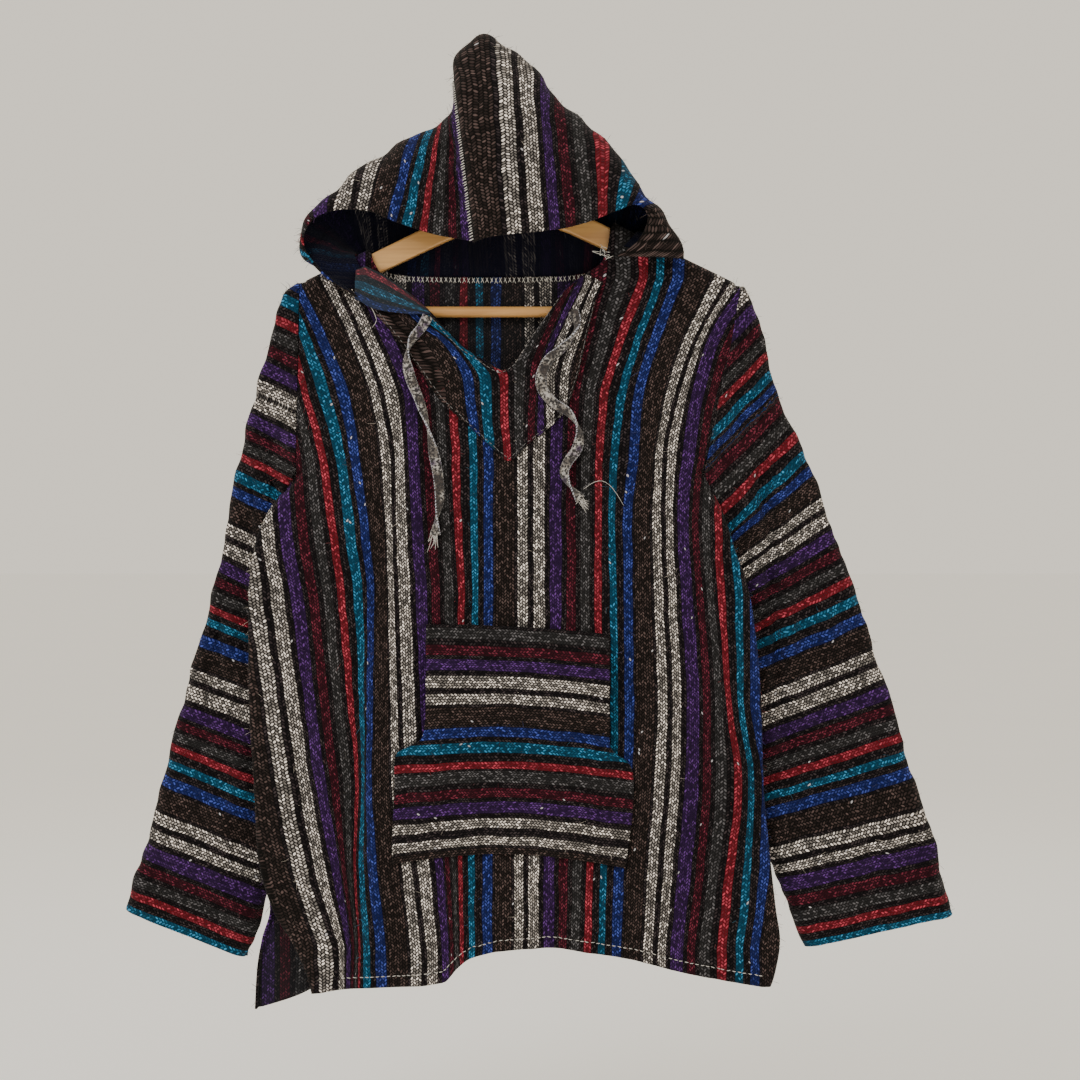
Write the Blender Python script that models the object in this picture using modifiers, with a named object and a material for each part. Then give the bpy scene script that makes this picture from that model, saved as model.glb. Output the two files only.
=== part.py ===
"""Baja hoodie on a wooden hanger, as solids in metres: +Z up, the garment's front towards -Y.

The origin is the point of the hook that bears on its nail. Every cut piece of cloth is a wall
through a grid of points, worked out from the section tables below, which are in millimetres.
"""
import math
from collections import namedtuple

import bpy
import numpy as np

MM = 0.001

# ---- cloth ----
WALL = 2.2             # thickness of the handwoven cloth
LAYER = 3.1            # from the middle of one layer to the middle of the layer on it
ARM_SEAM = 0.45        # between the body's edge and the sleeve's
HALF_SEAM = 0.25       # each piece's share of the gap at the hood's and the side seams
SEAM_HALF = 0.5        # and at the shoulder seam, where the walls lean towards each other
STRIP = 3.0            # straight strip of cloth beside a seam
SHOULDER_HALF = 10.0   # half the distance between front and back over the hanger
SIDE_ROUND = 6.0       # radius of the fold at the body's sides
TURN_ROUND = 3.0       # radius where the back turns in behind the sleeves
UNDERARM_Z = -400.0
UNDERARM_GAP = 1.5     # front and back part by this much on each side of the underarm

# ---- hanger ----
ARM_REACH = 206.0
ARM_TOP = 109.5
ARM_SLOPE = 0.5
APEX_ROUND = 12.0      # how softly the two arms meet above, and below
THROAT_ROUND = 30.0
ARM_DEEP = 22.0
ARM_THICK = 10.0
BAR_Z = -240.0
BAR_RADIUS = 5.5
BAR_END = 188.3        # where the bar butts the arms' ends, which reach this far below it
ARM_FOOT = 8.0
HOOK_WIRE = 2.0
HOOK_RADIUS = 14.0

# The body, a row for each height: the edges of the front and of the back, how far the front and
# the back stand from the hanger's plane, how far the side seam is turned in (0 at an armhole,
# 1 below it), and where the back has come forward to pass in front of each hanging sleeve.
Section = namedtuple("Section", "z left right back_left back_right front back tuck step_left step_right")
BODY = (
    Section(-205, -216, 224, -216, 224, 10.0, 10.0, 0.00, -200, 190),
    Section(-260, -216, 212, -216, 212, 12.0, 11.5, 0.00, -200, 185),
    Section(-320, -216, 198, -216, 198, 16.0, 13.0, 0.00, -200, 178),
    Section(-400, -216, 180, -216, 180, 20.0, 15.0, 0.00, -200, 168),
    Section(-409, -217, 180, -217, 180, 20.5, 15.0, 0.02, -200, 168),
    Section(-440, -237, 186, -237, 186, 22.5, 16.0, 0.65, -204, 172),
    Section(-470, -255, 206, -255, 206, 24.5, 17.0, 1.00, -202, 180),
    Section(-528, -265, 231, -265, 231, 27.0, 18.0, 1.00, -198, 182),
    Section(-628, -264, 241, -264, 241, 30.0, 19.0, 1.00, -198, 196),
    Section(-708, -259, 243, -259, 243, 32.0, 20.0, 1.00, -206, 212),
    Section(-778, -255, 249, -255, 249, 34.0, 21.0, 1.00, -212, 222),
    Section(-833, -240, 255, -243, 255, 35.0, 22.0, 1.00, -214, 226),
    Section(-863, -222, 259, -251, 258, 35.5, 22.5, 1.00, -216, 226),
    Section(-895, -207, 254, -256, 252, 36.0, 23.0, 1.00, -218, 222),
    Section(-935, -197, 238, -258, 238, 36.0, 23.0, 1.00, -218, 210),
)
STEP_WIDE = 42.0       # width over which the back returns to its full depth

# Lines seen from the front: x and z of each row.
Point = namedtuple("Point", "x z")
SHOULDER = (Point(-230, -218), Point(-216, -212), Point(-187, -198), Point(-147, -178),
            Point(-60, -134), Point(40, -123), Point(95, -150.6), Point(168, -188),
            Point(205, -206), Point(224, -216), Point(240, -228))
NECK_FRONT = (Point(-147, -178.5), Point(-145, -186), Point(-141, -194), Point(-135, -203),
              Point(-107, -222), Point(-85, -242), Point(-57, -273), Point(-27, -293),
              Point(-14, -299), Point(-2, -291), Point(13, -268), Point(31, -243),
              Point(48, -219), Point(68, -203), Point(84, -192), Point(90, -178),
              Point(93.5, -159.5), Point(96, -151.4))
NECK_BACK = (Point(-147, -178.5), Point(-145, -186), Point(-139, -193), Point(-130, -199),
             Point(-105, -203), Point(-40, -204), Point(40, -203), Point(72, -199),
             Point(84, -190), Point(90, -177), Point(93.5, -159.5), Point(96, -151.4))
HEM_FRONT = (Point(-203, -916), Point(-172, -910), Point(-117, -907), Point(-72, -903),
             Point(-58, -889), Point(-45, -880), Point(-17, -872), Point(33, -869),
             Point(73, -873), Point(123, -883), Point(163, -893), Point(203, -901),
             Point(243, -908))
HEM_BACK = (Point(-258, -932), Point(-225, -922), Point(-190, -908), Point(-120, -888),
            Point(-20, -866), Point(80, -864), Point(180, -882), Point(243, -900))

# Heights of the rows on the body's left edge, and where its columns stand across the shoulders.
ROWS = (-211.5, -212.6, -215.5, -221, -232, -252, -276, -300, -325, -350, -372, -388, -396,
        -400, -412, -430, -452, -482, -520, -562, -606, -650, -694, -738, -780, -822, -860, -892,
        -915)
FRONT_COLUMNS = (-203, -186, -166, -149.5, -146, -143.5, -139, -120, -96, -68, -40, -11, 8, 30,
                 52, 68, 74.5, 76.9, 79.6, 85, 104, 130, 160, 190)
BACK_COLUMNS = (-203, -178, -151, -147.5, -144, -141.5, -134, -112, -74, -36, 0, 34, 60, 70, 75.7,
                78.4, 84, 108, 150, 190)

# Soft folds: a line from (x0, z0) to (x1, z1), its width, and how far the cloth stands out.
Fold = namedtuple("Fold", "x0 z0 x1 z1 wide high")
FRONT_FOLDS = (
    Fold(-192, -232, -146, -450, 17, 6.0),
    Fold(-168, -300, -178, -560, 12, -4.0),
    Fold(-158, -520, -157, -930, 10, -7.5),
    Fold(-140, -560, -139, -930, 9, 4.0),
    Fold(-228, -450, -222, -850, 15, 3.5),
    Fold(-192, -600, -184, -930, 13, 4.5),
    Fold(162, -205, 118, -440, 18, 6.5),
    Fold(152, -300, 152, -520, 11, -4.5),
    Fold(134, -420, 144, -900, 12, 4.0),
    Fold(176, -440, 184, -925, 12, -6.0),
    Fold(212, -500, 222, -925, 13, 5.0),
    Fold(-88, -800, -96, -930, 12, 5.0),
    Fold(-40, -800, -54, -930, 13, -5.0),
    Fold(60, -800, 84, -930, 16, 4.5),
    Fold(-112, -310, -136, -540, 12, -3.5),
    Fold(96, -240, 100, -470, 14, -3.5),
)
BACK_FOLDS = (
    Fold(-120, -240, -96, -560, 18, 5.0),
    Fold(-60, -300, -66, -900, 15, -5.0),
    Fold(-20, -420, -26, -900, 14, 4.5),
    Fold(36, -260, 30, -900, 15, -4.5),
    Fold(84, -300, 88, -900, 15, 5.0),
    Fold(128, -420, 136, -900, 13, -4.5),
    Fold(-108, -560, -112, -900, 13, 4.0),
)

# Each sleeve, a row for each ring: its outer and inner point, its middle depth and thickness.
Ring = namedtuple("Ring", "x_out z_out x_in z_in y_mid thick")
SLEEVE_LEFT = (
    Ring(-235, -229, -224, -405, 3.0, 22),
    Ring(-255, -298, -230, -424, 9.0, 25),
    Ring(-277, -378, -228, -460, 15.0, 26),
    Ring(-295, -478, -216, -522, 15.0, 26),
    Ring(-321, -578, -214, -618, 12.0, 26),
    Ring(-347, -678, -226, -726, 8.0, 26),
    Ring(-371, -778, -252, -826, 2.0, 27),
    Ring(-390, -836, -270, -884, -1.0, 28),
)
SLEEVE_RIGHT = (
    Ring(239, -243, 189, -405, 3.0, 22),
    Ring(256, -306, 197, -426, 9.0, 25),
    Ring(286, -378, 202, -466, 15.0, 26),
    Ring(316, -458, 200, -530, 15.0, 27),
    Ring(345, -540, 208, -600, 12.0, 27),
    Ring(372, -620, 222, -676, 8.0, 27),
    Ring(396, -708, 240, -750, 4.0, 28),
    Ring(418, -778, 266, -812, 0.0, 28),
    Ring(433, -841, 288, -873, -2.0, 29),
)
SLEEVE_RINGS = 19
SLEEVE_END = 5         # points round each edge of a sleeve
SLEEVE_SIDE = 6        # and along each of its faces
SLEEVE_FOLDS_LEFT = (
    Fold(-262, -330, -250, -600, 9, 5.0),
    Fold(-290, -420, -312, -700, 9, -4.0),
    Fold(-262, -620, -300, -840, 10, 4.0),
)
SLEEVE_FOLDS_RIGHT = (
    Fold(243, -330, 268, -690, 7, -8.0),
    Fold(258, -400, 282, -700, 8, 5.0),
    Fold(300, -480, 340, -800, 11, 3.5),
    Fold(350, -700, 362, -860, 10, -3.5),
)

# The hood, a row for each of its sections from the left front corner of the neck to the right
# one: where the section starts on the front rim, passes the crown, and ends on the neckline.
Arch = namedtuple("Arch", "rim_x rim_z rim_y top_x top_z top_y neck_x neck_z neck_y")
HOOD_LEFT = (
    Arch(-157, -228, -29, -168, -220, -24, -147, -217, -18.5),
    Arch(-182, -213, -32, -199, -200, -26, -153, -203, -18.5),
    Arch(-202, -193, -34, -212, -183, -24, -160, -188, -15),
    Arch(-210, -171, -35, -214, -163, -18, -161, -179, -3),
    Arch(-199, -153, -38, -203, -143, -14, -157, -176, 8.5),
    Arch(-177, -145, -42, -168, -112, -9, -148, -188, 13),
    Arch(-147, -146, -46, -134, -84, -6, -130, -207, 13.5),
    Arch(-117, -158, -50, -94, -61, -4, -102, -209, 13.4),
    Arch(-84, -169, -52, -72, -50, -4, -76, -210, 13.3),
    Arch(-58, -174, -50, -64, -40, -3, -58, -210, 13.3),
    Arch(-42, -177, -54, -63, -12, -3, -46, -210, 13.3),
)
HOOD_RIGHT = (
    Arch(-41, -178, -56, -62, -8, -3, -44, -210, 13.3),
    Arch(-36, -177, -63, -60, 14, -2, -36, -210, 13.3),
    Arch(-24, -174, -64, -40, 34, -1, -24, -210, 13.3),
    Arch(-2, -171, -63, -14, 26, 0, -6, -210, 13.3),
    Arch(20, -169, -61, 7, 12, 0, 12, -210, 13.3),
    Arch(33, -167, -60, 21, -5, -1, 25, -210, 13.3),
    Arch(47, -165, -58, 33, -25, -2, 38, -209, 13.3),
    Arch(73, -157, -52, 64, -49, -4, 60, -207, 13.4),
    Arch(98, -146, -44, 106, -92, -6, 82, -198, 13.6),
    Arch(118, -139, -38, 128, -126, -8, 98, -181, 14),
    Arch(129, -151, -36, 148, -150, -12, 116, -163, 10.5),
    Arch(119, -174, -36, 163, -172, -20, 119, -162, -9),
    Arch(97, -189, -34, 164, -190, -24, 106, -177, -17),
)
HOOD_BETWEEN = 1       # extra sections between two rows
HOOD_STEPS = 6         # steps from the rim to the crown, and from there to the neck

# The facing sewn round the neck slit: its inner and outer edge, from one shoulder to the other.
Band = namedtuple("Band", "in_x in_z out_x out_z")
FACING = (
    Band(-134, -204, -156, -229), Band(-121, -213, -146, -238), Band(-107, -223, -137, -247),
    Band(-96, -233, -127, -259), Band(-85, -243, -117, -271), Band(-71, -259, -107, -285),
    Band(-57, -274, -96, -300), Band(-42, -284, -77, -328), Band(-27, -294, -50, -353),
    Band(-20, -298, -27, -374), Band(-14, -300, -8, -390), Band(-8, -297, 11, -373),
    Band(-1, -292, 28, -360), Band(6, -281, 42, -348), Band(14, -268, 51, -334),
    Band(22, -256, 57, -318), Band(31, -243, 62, -300), Band(39, -231, 67, -278),
    Band(49, -219, 73, -252), Band(59, -211, 79, -229), Band(69, -204, 86, -212),
)
FACING_ACROSS = 5

# The pouch pocket, a row for each height: its edges, and how far each opening stands off.
Pouch = namedtuple("Pouch", "z left right mouth")
POCKET = (
    Pouch(-551, -89, 91, 0.0), Pouch(-556, -89, 91, 0.15), Pouch(-570, -89, 91, 0.7),
    Pouch(-590, -89, 91, 1.0), Pouch(-612, -89, 91, 1.0), Pouch(-634, -89, 91, 1.0),
    Pouch(-652, -90, 91, 0.9), Pouch(-664, -94, 92, 0.6), Pouch(-672, -108, 98, 0.2),
    Pouch(-678, -118, 108, 0.0), Pouch(-690, -120, 114, 0.0), Pouch(-715, -120, 115, 0.0),
    Pouch(-740, -121, 113, 0.0), Pouch(-762, -122, 110, 0.0), Pouch(-778, -122, 108, 0.0),
    Pouch(-786, -122, 107, 0.0),
)
POCKET_TOP_DROP = 10.0   # the right end of the pocket's top hangs this much lower
POCKET_ARC = 12.0        # rise of its lower edge in the middle
POCKET_BULGE = 9.0
POCKET_CLEAR = 0.5
POCKET_COLUMNS = 16

# The ties, a row for each bend of the strip, from the corner of the neck to the free end.
TIE_LEFT = (Point(-88, -246), Point(-94, -257), Point(-104, -270), Point(-109, -288),
            Point(-105, -308), Point(-97, -328), Point(-89, -352), Point(-83, -378),
            Point(-78, -402), Point(-76, -428), Point(-79, -448), Point(-80, -463))
TIE_RIGHT = (Point(56, -241), Point(60, -254), Point(54, -268), Point(43, -280),
             Point(31, -290), Point(24, -306), Point(26, -320), Point(36, -332),
             Point(50, -341), Point(59, -353), Point(62, -366), Point(59, -379),
             Point(51, -390), Point(47, -401), Point(51, -412), Point(58, -421),
             Point(63, -428))
TIE_RADIUS = 3.6
TIE_POINTS = 22

COLOURS = {
    "cloth": (0.060, 0.048, 0.052, 1.0),
    "facing": (0.085, 0.060, 0.075, 1.0),
    "pocket": (0.120, 0.090, 0.110, 1.0),
    "tie": (0.230, 0.215, 0.220, 1.0),
    "wood": (0.560, 0.330, 0.130, 1.0),
    "steel": (0.620, 0.620, 0.600, 1.0),
}


# ---- curves through the tables ----

def through(xs, ys, at):
    """Values at the given places on a curve through points that never swings past them."""
    xs = np.asarray(xs, float)
    ys = np.asarray(ys, float)
    if xs[0] > xs[-1]:
        xs, ys = xs[::-1], ys[::-1]
    at = np.clip(np.asarray(at, float), xs[0], xs[-1])
    step = np.diff(xs)
    slope = np.diff(ys) / step
    inner = np.where(slope[:-1] * slope[1:] > 0,
                     2 * slope[:-1] * slope[1:] / (slope[:-1] + slope[1:] + 1e-12), 0.0)
    tangent = np.concatenate(([slope[0]], inner, [slope[-1]]))
    k = np.clip(np.searchsorted(xs, at, side="right") - 1, 0, len(step) - 1)
    t = (at - xs[k]) / step[k]
    return ((1 + 2 * t) * (1 - t) ** 2 * ys[k] + t * (1 - t) ** 2 * step[k] * tangent[k]
            + t * t * (3 - 2 * t) * ys[k + 1] - t * t * (1 - t) * step[k] * tangent[k + 1])


def column(rows, key, field, at):
    """A table's column at the given values of its key column."""
    return through([getattr(row, key) for row in rows], [getattr(row, field) for row in rows], at)


def smooth_rows(rows, count):
    """Points of a table taken evenly along it, on a smooth curve through its rows."""
    table = np.array(rows, float)
    at = np.linspace(0, len(table) - 1, count)
    k = np.clip(at.astype(int), 0, len(table) - 2)
    t = (at - k)[:, None]
    before = table[np.maximum(k - 1, 0)]
    start, end = table[k], table[k + 1]
    after = table[np.minimum(k + 2, len(table) - 1)]
    leave = (end - before) / 2
    arrive = (after - start) / 2
    return ((1 + 2 * t) * (1 - t) ** 2 * start + t * (1 - t) ** 2 * leave
            + t * t * (3 - 2 * t) * end - t * t * (1 - t) * arrive)


def ease(low, high, at):
    """0 below low, 1 above high, and a soft S between them."""
    t = np.clip((at - low) / (high - low), 0.0, 1.0)
    return t * t * (3 - 2 * t)


def quarter(t):
    """Height of a quarter circle: 0 at t = 0, 1 from t = 1 on."""
    t = np.clip(t, 0.0, 1.0)
    return np.sqrt(1 - (1 - t) ** 2)


def fold_height(folds, x, z):
    """How far the soft folds lift the cloth at a place."""
    height = np.zeros(np.broadcast(x, z).shape)
    for fold in folds:
        along = (z - fold.z0) / (fold.z1 - fold.z0)
        middle = fold.x0 + (fold.x1 - fold.x0) * along
        taper = ease(0.0, 0.25, along) * ease(0.0, 0.25, 1 - along)
        height = height + fold.high * taper * np.exp(-((x - middle) / fold.wide) ** 2)
    return height


# ---- the body's front and back ----

def body_depth(x, z, side):
    """Distance of the front ("front") or back ("back") from the hanger's plane."""
    left = column(BODY, "z", "left", z)
    right = column(BODY, "z", "right", z)
    tuck = column(BODY, "z", "tuck", z)
    across = np.clip((x - left) / (right - left), 0.0, 1.0)
    middle = column(BODY, "z", side, z)
    crown = 1 - np.abs(2 * across - 1) ** 3
    if side == "front":
        edge = SHOULDER_HALF + (0.9 * middle - SHOULDER_HALF) * tuck
        depth = edge + (middle - edge) * crown + fold_height(FRONT_FOLDS, x, z)
    else:
        wing = TURN_ROUND + STRIP - seam_depth(z)
        step_left = column(BODY, "z", "step_left", z)
        step_right = column(BODY, "z", "step_right", z)
        inside = ease(step_left, step_left + STEP_WIDE, x) * ease(-step_right, STEP_WIDE - step_right, -x)
        full = SHOULDER_HALF + (middle - SHOULDER_HALF) * crown
        full = full + fold_height(BACK_FOLDS, x, z) * inside
        depth = full + (wing + (full - wing) * inside - full) * tuck
    ridge = through([p.x for p in SHOULDER], [p.z for p in SHOULDER], x)
    return depth * quarter((ridge - z) / SHOULDER_HALF)


def seam_depth(z):
    """How far the side seam stands in front of the hanger's plane, below the armholes."""
    return 0.9 * column(BODY, "z", "front", z) - SIDE_ROUND - STRIP


def armhole_depth(z):
    """Half the width of the armhole, which closes round at the underarm."""
    return SHOULDER_HALF * quarter((z - UNDERARM_Z) / SHOULDER_HALF)


def edge_columns(z, side, hand):
    """x and y of the four columns at one edge of the front or back, from inside to the seam."""
    name = ("left" if hand < 0 else "right") if side == "front" else \
           ("back_left" if hand < 0 else "back_right")
    edge = column(BODY, "z", name, z)
    tuck = column(BODY, "z", "tuck", z)
    way = -1 if side == "front" else 1
    seam = -seam_depth(z)
    radius = SIDE_ROUND if side == "front" else TURN_ROUND
    inner_x = edge - hand * (radius + STRIP)
    inner_y = way * body_depth(inner_x, z, side)
    arm_y = np.minimum(armhole_depth(z), body_depth(edge, z, side))
    arm_y = way * np.where(z > UNDERARM_Z, np.maximum(arm_y, SEAM_HALF), 0.0)
    apart = way * (UNDERARM_GAP * quarter((UNDERARM_Z + 4.0 - z) / 4.0) + 4 * tuck * (1 - tuck) * SEAM_HALF)
    arm_y = np.where(np.abs(arm_y) > UNDERARM_GAP, arm_y, arm_y + apart)
    columns = []
    for angle, reach, weight in ((35, 0.8, 0.35), (65, 0.4, 0.8), (90, 0.0, 1.0), (90, -1.0, 1.0)):
        turn = math.radians(angle)
        round_x = edge - hand * radius * (1 - math.sin(turn))
        round_y = seam + way * (STRIP * (reach >= 0) + radius * math.cos(turn))
        arm_x = edge - hand * (STRIP + radius * reach if reach >= 0 else 0.0)
        y_here = inner_y + (arm_y - inner_y) * weight
        x = arm_x + (round_x - arm_x) * tuck
        y = y_here + (round_y - y_here) * tuck
        columns.append((x, y + way * HALF_SEAM * tuck * (reach < 0)))
    return columns


def body_grid(side):
    """Points of the front or the back, a row for each height, a column for each line down."""
    neck = NECK_FRONT if side == "front" else NECK_BACK
    hem = HEM_FRONT if side == "front" else HEM_BACK
    names = ("left", "right") if side == "front" else ("back_left", "back_right")
    way = -1 if side == "front" else 1
    radius = SIDE_ROUND if side == "front" else TURN_ROUND
    lines = np.array(FRONT_COLUMNS if side == "front" else BACK_COLUMNS, float)
    shares = (lines - lines[0]) / (lines[-1] - lines[0])
    drops = (np.array(ROWS) - ROWS[0]) / (ROWS[-1] - ROWS[0])

    def core_x(share, z):
        left = column(BODY, "z", names[0], z) + radius + STRIP
        right = column(BODY, "z", names[1], z) - radius - STRIP
        return left + (right - left) * share

    def edge_z(x):
        ridge = through([p.x for p in SHOULDER], [p.z for p in SHOULDER], x)
        slit = through([p.x for p in neck], [p.z for p in neck], x)
        open_here = (x > neck[0].x) & (x < neck[-1].x)
        return np.where(open_here, slit, ridge)

    def hem_z(x):
        return through([p.x for p in hem], [p.z for p in hem], x)

    top = np.full(len(shares), -212.0)
    bottom = np.full(len(shares), -900.0)
    for _ in range(12):
        top = edge_z(core_x(shares, top))
        bottom = hem_z(core_x(shares, bottom))
    grid = []
    for drop in drops:
        z = top + (bottom - top) * drop
        x = core_x(shares, z)
        depth = body_depth(x, z, side)
        y = way * np.where(z > UNDERARM_Z, np.maximum(depth, SEAM_HALF), depth)
        core = list(zip(x, y, z))
        ends = []
        for hand in (-1, 1):
            edge = column(BODY, "z", names[0 if hand < 0 else 1], -212.0)
            z_top = through([p.x for p in SHOULDER], [p.z for p in SHOULDER], edge)
            z_low = hem_z(column(BODY, "z", names[0 if hand < 0 else 1], -915.0))
            z_end = z_top + (z_low - z_top) * drop
            near = z[0] if hand < 0 else z[-1]
            strip = []
            for k, weight in enumerate((0.4, 0.7, 1.0, 1.0)):
                z_here = near + (z_end - near) * weight
                x_here, y_here = edge_columns(np.array(z_here), side, hand)[k]
                strip.append((float(x_here), float(y_here), float(z_here)))
            ends.append(strip)
        grid.append(ends[0][::-1] + core + ends[1])
    return np.array(grid)


# ---- the pieces ----

def sleeve_grid(rows, folds, hand):
    """Rings of a sleeve, from the armhole to the cuff."""
    top = column(BODY, "z", "left" if hand < 0 else "right", -212.0) + hand * ARM_SEAM
    low = column(BODY, "z", "left" if hand < 0 else "right", UNDERARM_Z) + hand * ARM_SEAM
    z_top = float(through([p.x for p in SHOULDER], [p.z for p in SHOULDER], top))
    seam = Ring(top, z_top, low, UNDERARM_Z, 0.0, 2 * SHOULDER_HALF)
    strip = Ring(top + hand * STRIP, z_top, low + hand * STRIP, UNDERARM_Z, 0.0, 2 * SHOULDER_HALF)
    rings = [seam] + list(smooth_rows((strip,) + tuple(rows), SLEEVE_RINGS))
    grid = []
    for x_out, z_out, x_in, z_in, y_mid, thick in rings:
        wide = math.hypot(x_in - x_out, z_in - z_out)
        radius = thick / 2
        line = []
        for k in range(SLEEVE_END + 1):
            turn = math.pi * (k / SLEEVE_END - 0.5)
            line.append((radius - radius * math.cos(turn), radius * math.sin(turn)))
        straight = wide - 2 * radius
        for k in range(1, SLEEVE_SIDE):
            line.append((radius + straight * k / SLEEVE_SIDE, radius))
        line += [(wide - d, -y) for d, y in line]
        ring = []
        for along, y in line:
            x = x_out + (x_in - x_out) * along / wide
            z = z_out + (z_in - z_out) * along / wide
            lift = float(fold_height(folds, np.array(x), np.array(z)))
            lift *= float(ease(0.0, 18.0, min(along, wide - along)))
            ring.append((x, y_mid + y + (-lift if y < 0 else 0.7 * lift), z))
        grid.append(ring)
    return np.array(grid)


def hood_grid(rows, seam_end):
    """Sections of one half of the hood, each from the rim over the crown to the neck."""
    arches = smooth_rows(rows, (len(rows) - 1) * (HOOD_BETWEEN + 1) + 1)
    grid = []
    for arch in arches:
        rim, top, neck = (np.array((arch[k], arch[k + 2], arch[k + 1])) for k in (0, 3, 6))
        line = []
        for k in range(HOOD_STEPS):
            turn = math.pi / 2 * k / HOOD_STEPS
            rise, back = math.sin(turn), 1 - math.cos(turn)
            line.append(rim + (top - rim) * np.array((rise, back, rise)))
        for k in range(HOOD_STEPS + 1):
            turn = math.pi / 2 * (1 - k / HOOD_STEPS)
            rise, back = math.sin(turn), 1 - math.cos(turn)
            line.append(neck + (top - neck) * np.array((rise, back, rise)))
        grid.append(line)
    grid = np.array(grid)
    end, beside = (-1, -2) if seam_end else (0, 1)
    away = grid[beside] - grid[end]
    grid[end] += away / np.linalg.norm(away, axis=1)[:, None] * HALF_SEAM
    return grid


def on_front(x, z, off):
    """A point that lies on the front, moved out from it."""
    return -body_depth(x, z, "front") - off


def facing_grid():
    """The band round the neck slit, laid on the front."""
    grid = []
    for row in FACING:
        share = np.linspace(0, 1, FACING_ACROSS)
        x = row.in_x + (row.out_x - row.in_x) * share
        z = row.in_z + (row.out_z - row.in_z) * share
        grid.append(list(zip(x, on_front(x, z, LAYER), z)))
    return np.array(grid)


def pocket_grid():
    """The pouch pocket, laid on the front and standing off at its two hand openings."""
    grid = []
    for row in POCKET:
        share = np.linspace(0, 1, POCKET_COLUMNS + 1)
        x = row.left + (row.right - row.left) * share
        high = ease(-786.0, -551.0, row.z)
        z = row.z - POCKET_TOP_DROP * share ** 2 * high
        z = z + POCKET_ARC * (1 - high) * (np.sin(math.pi * share) - 0.35 * share)
        rise = ease(0, 20, -551.0 - row.z) * ease(0, 26, row.z + 786.0)
        sides = ease(0.0, 0.16, share) * ease(0.0, 0.16, 1 - share)
        bulge = POCKET_BULGE * rise * (row.mouth + (1 - row.mouth) * sides)
        grid.append(list(zip(x, on_front(x, z, LAYER + POCKET_CLEAR + bulge), z)))
    return np.array(grid)


def tie_points(bends):
    """Middle line of a tie, which hangs in front of the facing and the front."""
    points = smooth_rows(bends, TIE_POINTS)
    off = LAYER + WALL / 2 + TIE_RADIUS + 0.5
    return [(x, float(on_front(x, z, off)), z) for x, z in points]


# ---- making the objects ----

def clear_scene():
    """Take every object out of the open file."""
    for old in list(bpy.data.objects):
        bpy.data.objects.remove(old, do_unlink=True)


def material(name, rough, metallic=0.0):
    """A plain finish in the part's own colour."""
    new = bpy.data.materials.new(name)
    new.use_nodes = True
    shader = new.node_tree.nodes["Principled BSDF"]
    shader.inputs["Base Color"].default_value = COLOURS[name]
    shader.inputs["Roughness"].default_value = rough
    shader.inputs["Metallic"].default_value = metallic
    return new


def add(name, data, finish, collection):
    """An object of the hoodie, with its finish."""
    thing = bpy.data.objects.new(name, data)
    data.materials.append(finish)
    collection.objects.link(thing)
    return thing


def make_cloth(name, grid, finish, collection, tube=False, flip=False):
    """A wall of cloth through a grid of points; a tube is closed round its rows."""
    rows, columns = grid.shape[:2]
    across = columns if tube else columns - 1
    faces = []
    for i in range(rows - 1):
        for j in range(across):
            k = (j + 1) % columns
            face = [i * columns + j, (i + 1) * columns + j, (i + 1) * columns + k, i * columns + k]
            faces.append(face[::-1] if flip else face)
    mesh = bpy.data.meshes.new(name)
    mesh.from_pydata([tuple(point) for point in grid.reshape(-1, 3) * MM], [], faces)
    mesh.shade_smooth()
    cloth = add(name, mesh, finish, collection)
    wall = cloth.modifiers.new("wall", "SOLIDIFY")
    wall.thickness = WALL * MM
    wall.offset = 0.0
    return cloth


def make_wire(name, points, radius, finish, collection, sides=2):
    """A round cord or wire through a row of points, with closed ends."""
    curve = bpy.data.curves.new(name, "CURVE")
    curve.dimensions = "3D"
    curve.bevel_depth = radius * MM
    curve.bevel_resolution = sides
    curve.use_fill_caps = True
    spline = curve.splines.new("POLY")
    spline.points.add(len(points) - 1)
    for knot, point in zip(spline.points, points):
        knot.co = (point[0] * MM, point[1] * MM, point[2] * MM, 1.0)
    return add(name, curve, finish, collection)


def make_hanger_arms(finish, collection):
    """The hanger's wooden shoulders: a flat outline given its thickness and round edges."""
    steps = 7
    outline = []
    for k in range(-steps, steps + 1):
        x = ARM_REACH * k / steps
        outline.append((x, -ARM_TOP - ARM_SLOPE * math.hypot(x, APEX_ROUND)))
    foot = [(ARM_REACH, BAR_Z), (ARM_REACH - 5, BAR_Z - ARM_FOOT), (BAR_END + 4, BAR_Z - ARM_FOOT),
            (BAR_END, BAR_Z - ARM_FOOT + 4)]
    outline += foot
    for k in range(steps, -steps - 1, -1):
        x = BAR_END * k / steps
        outline.append((x, -ARM_TOP - ARM_SLOPE * math.hypot(x, THROAT_ROUND) - ARM_DEEP))
    outline += [(-x, z) for x, z in reversed(foot)]
    curve = bpy.data.curves.new("hanger_arms", "CURVE")
    curve.dimensions = "2D"
    curve.fill_mode = "BOTH"
    curve.extrude = ARM_THICK / 2 * MM
    spline = curve.splines.new("POLY")
    spline.points.add(len(outline) - 1)
    for knot, (x, z) in zip(spline.points, outline):
        knot.co = (x * MM, z * MM, 0.0, 1.0)
    spline.use_cyclic_u = True
    arms = add("hanger_arms", curve, finish, collection)
    arms.rotation_euler = (math.pi / 2, 0, 0)
    joined = arms.modifiers.new("joined", "WELD")
    joined.merge_threshold = 0.00001
    edges = arms.modifiers.new("edges", "BEVEL")
    edges.width = 2.0 * MM
    edges.segments = 2
    edges.limit_method = "ANGLE"
    return arms


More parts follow.
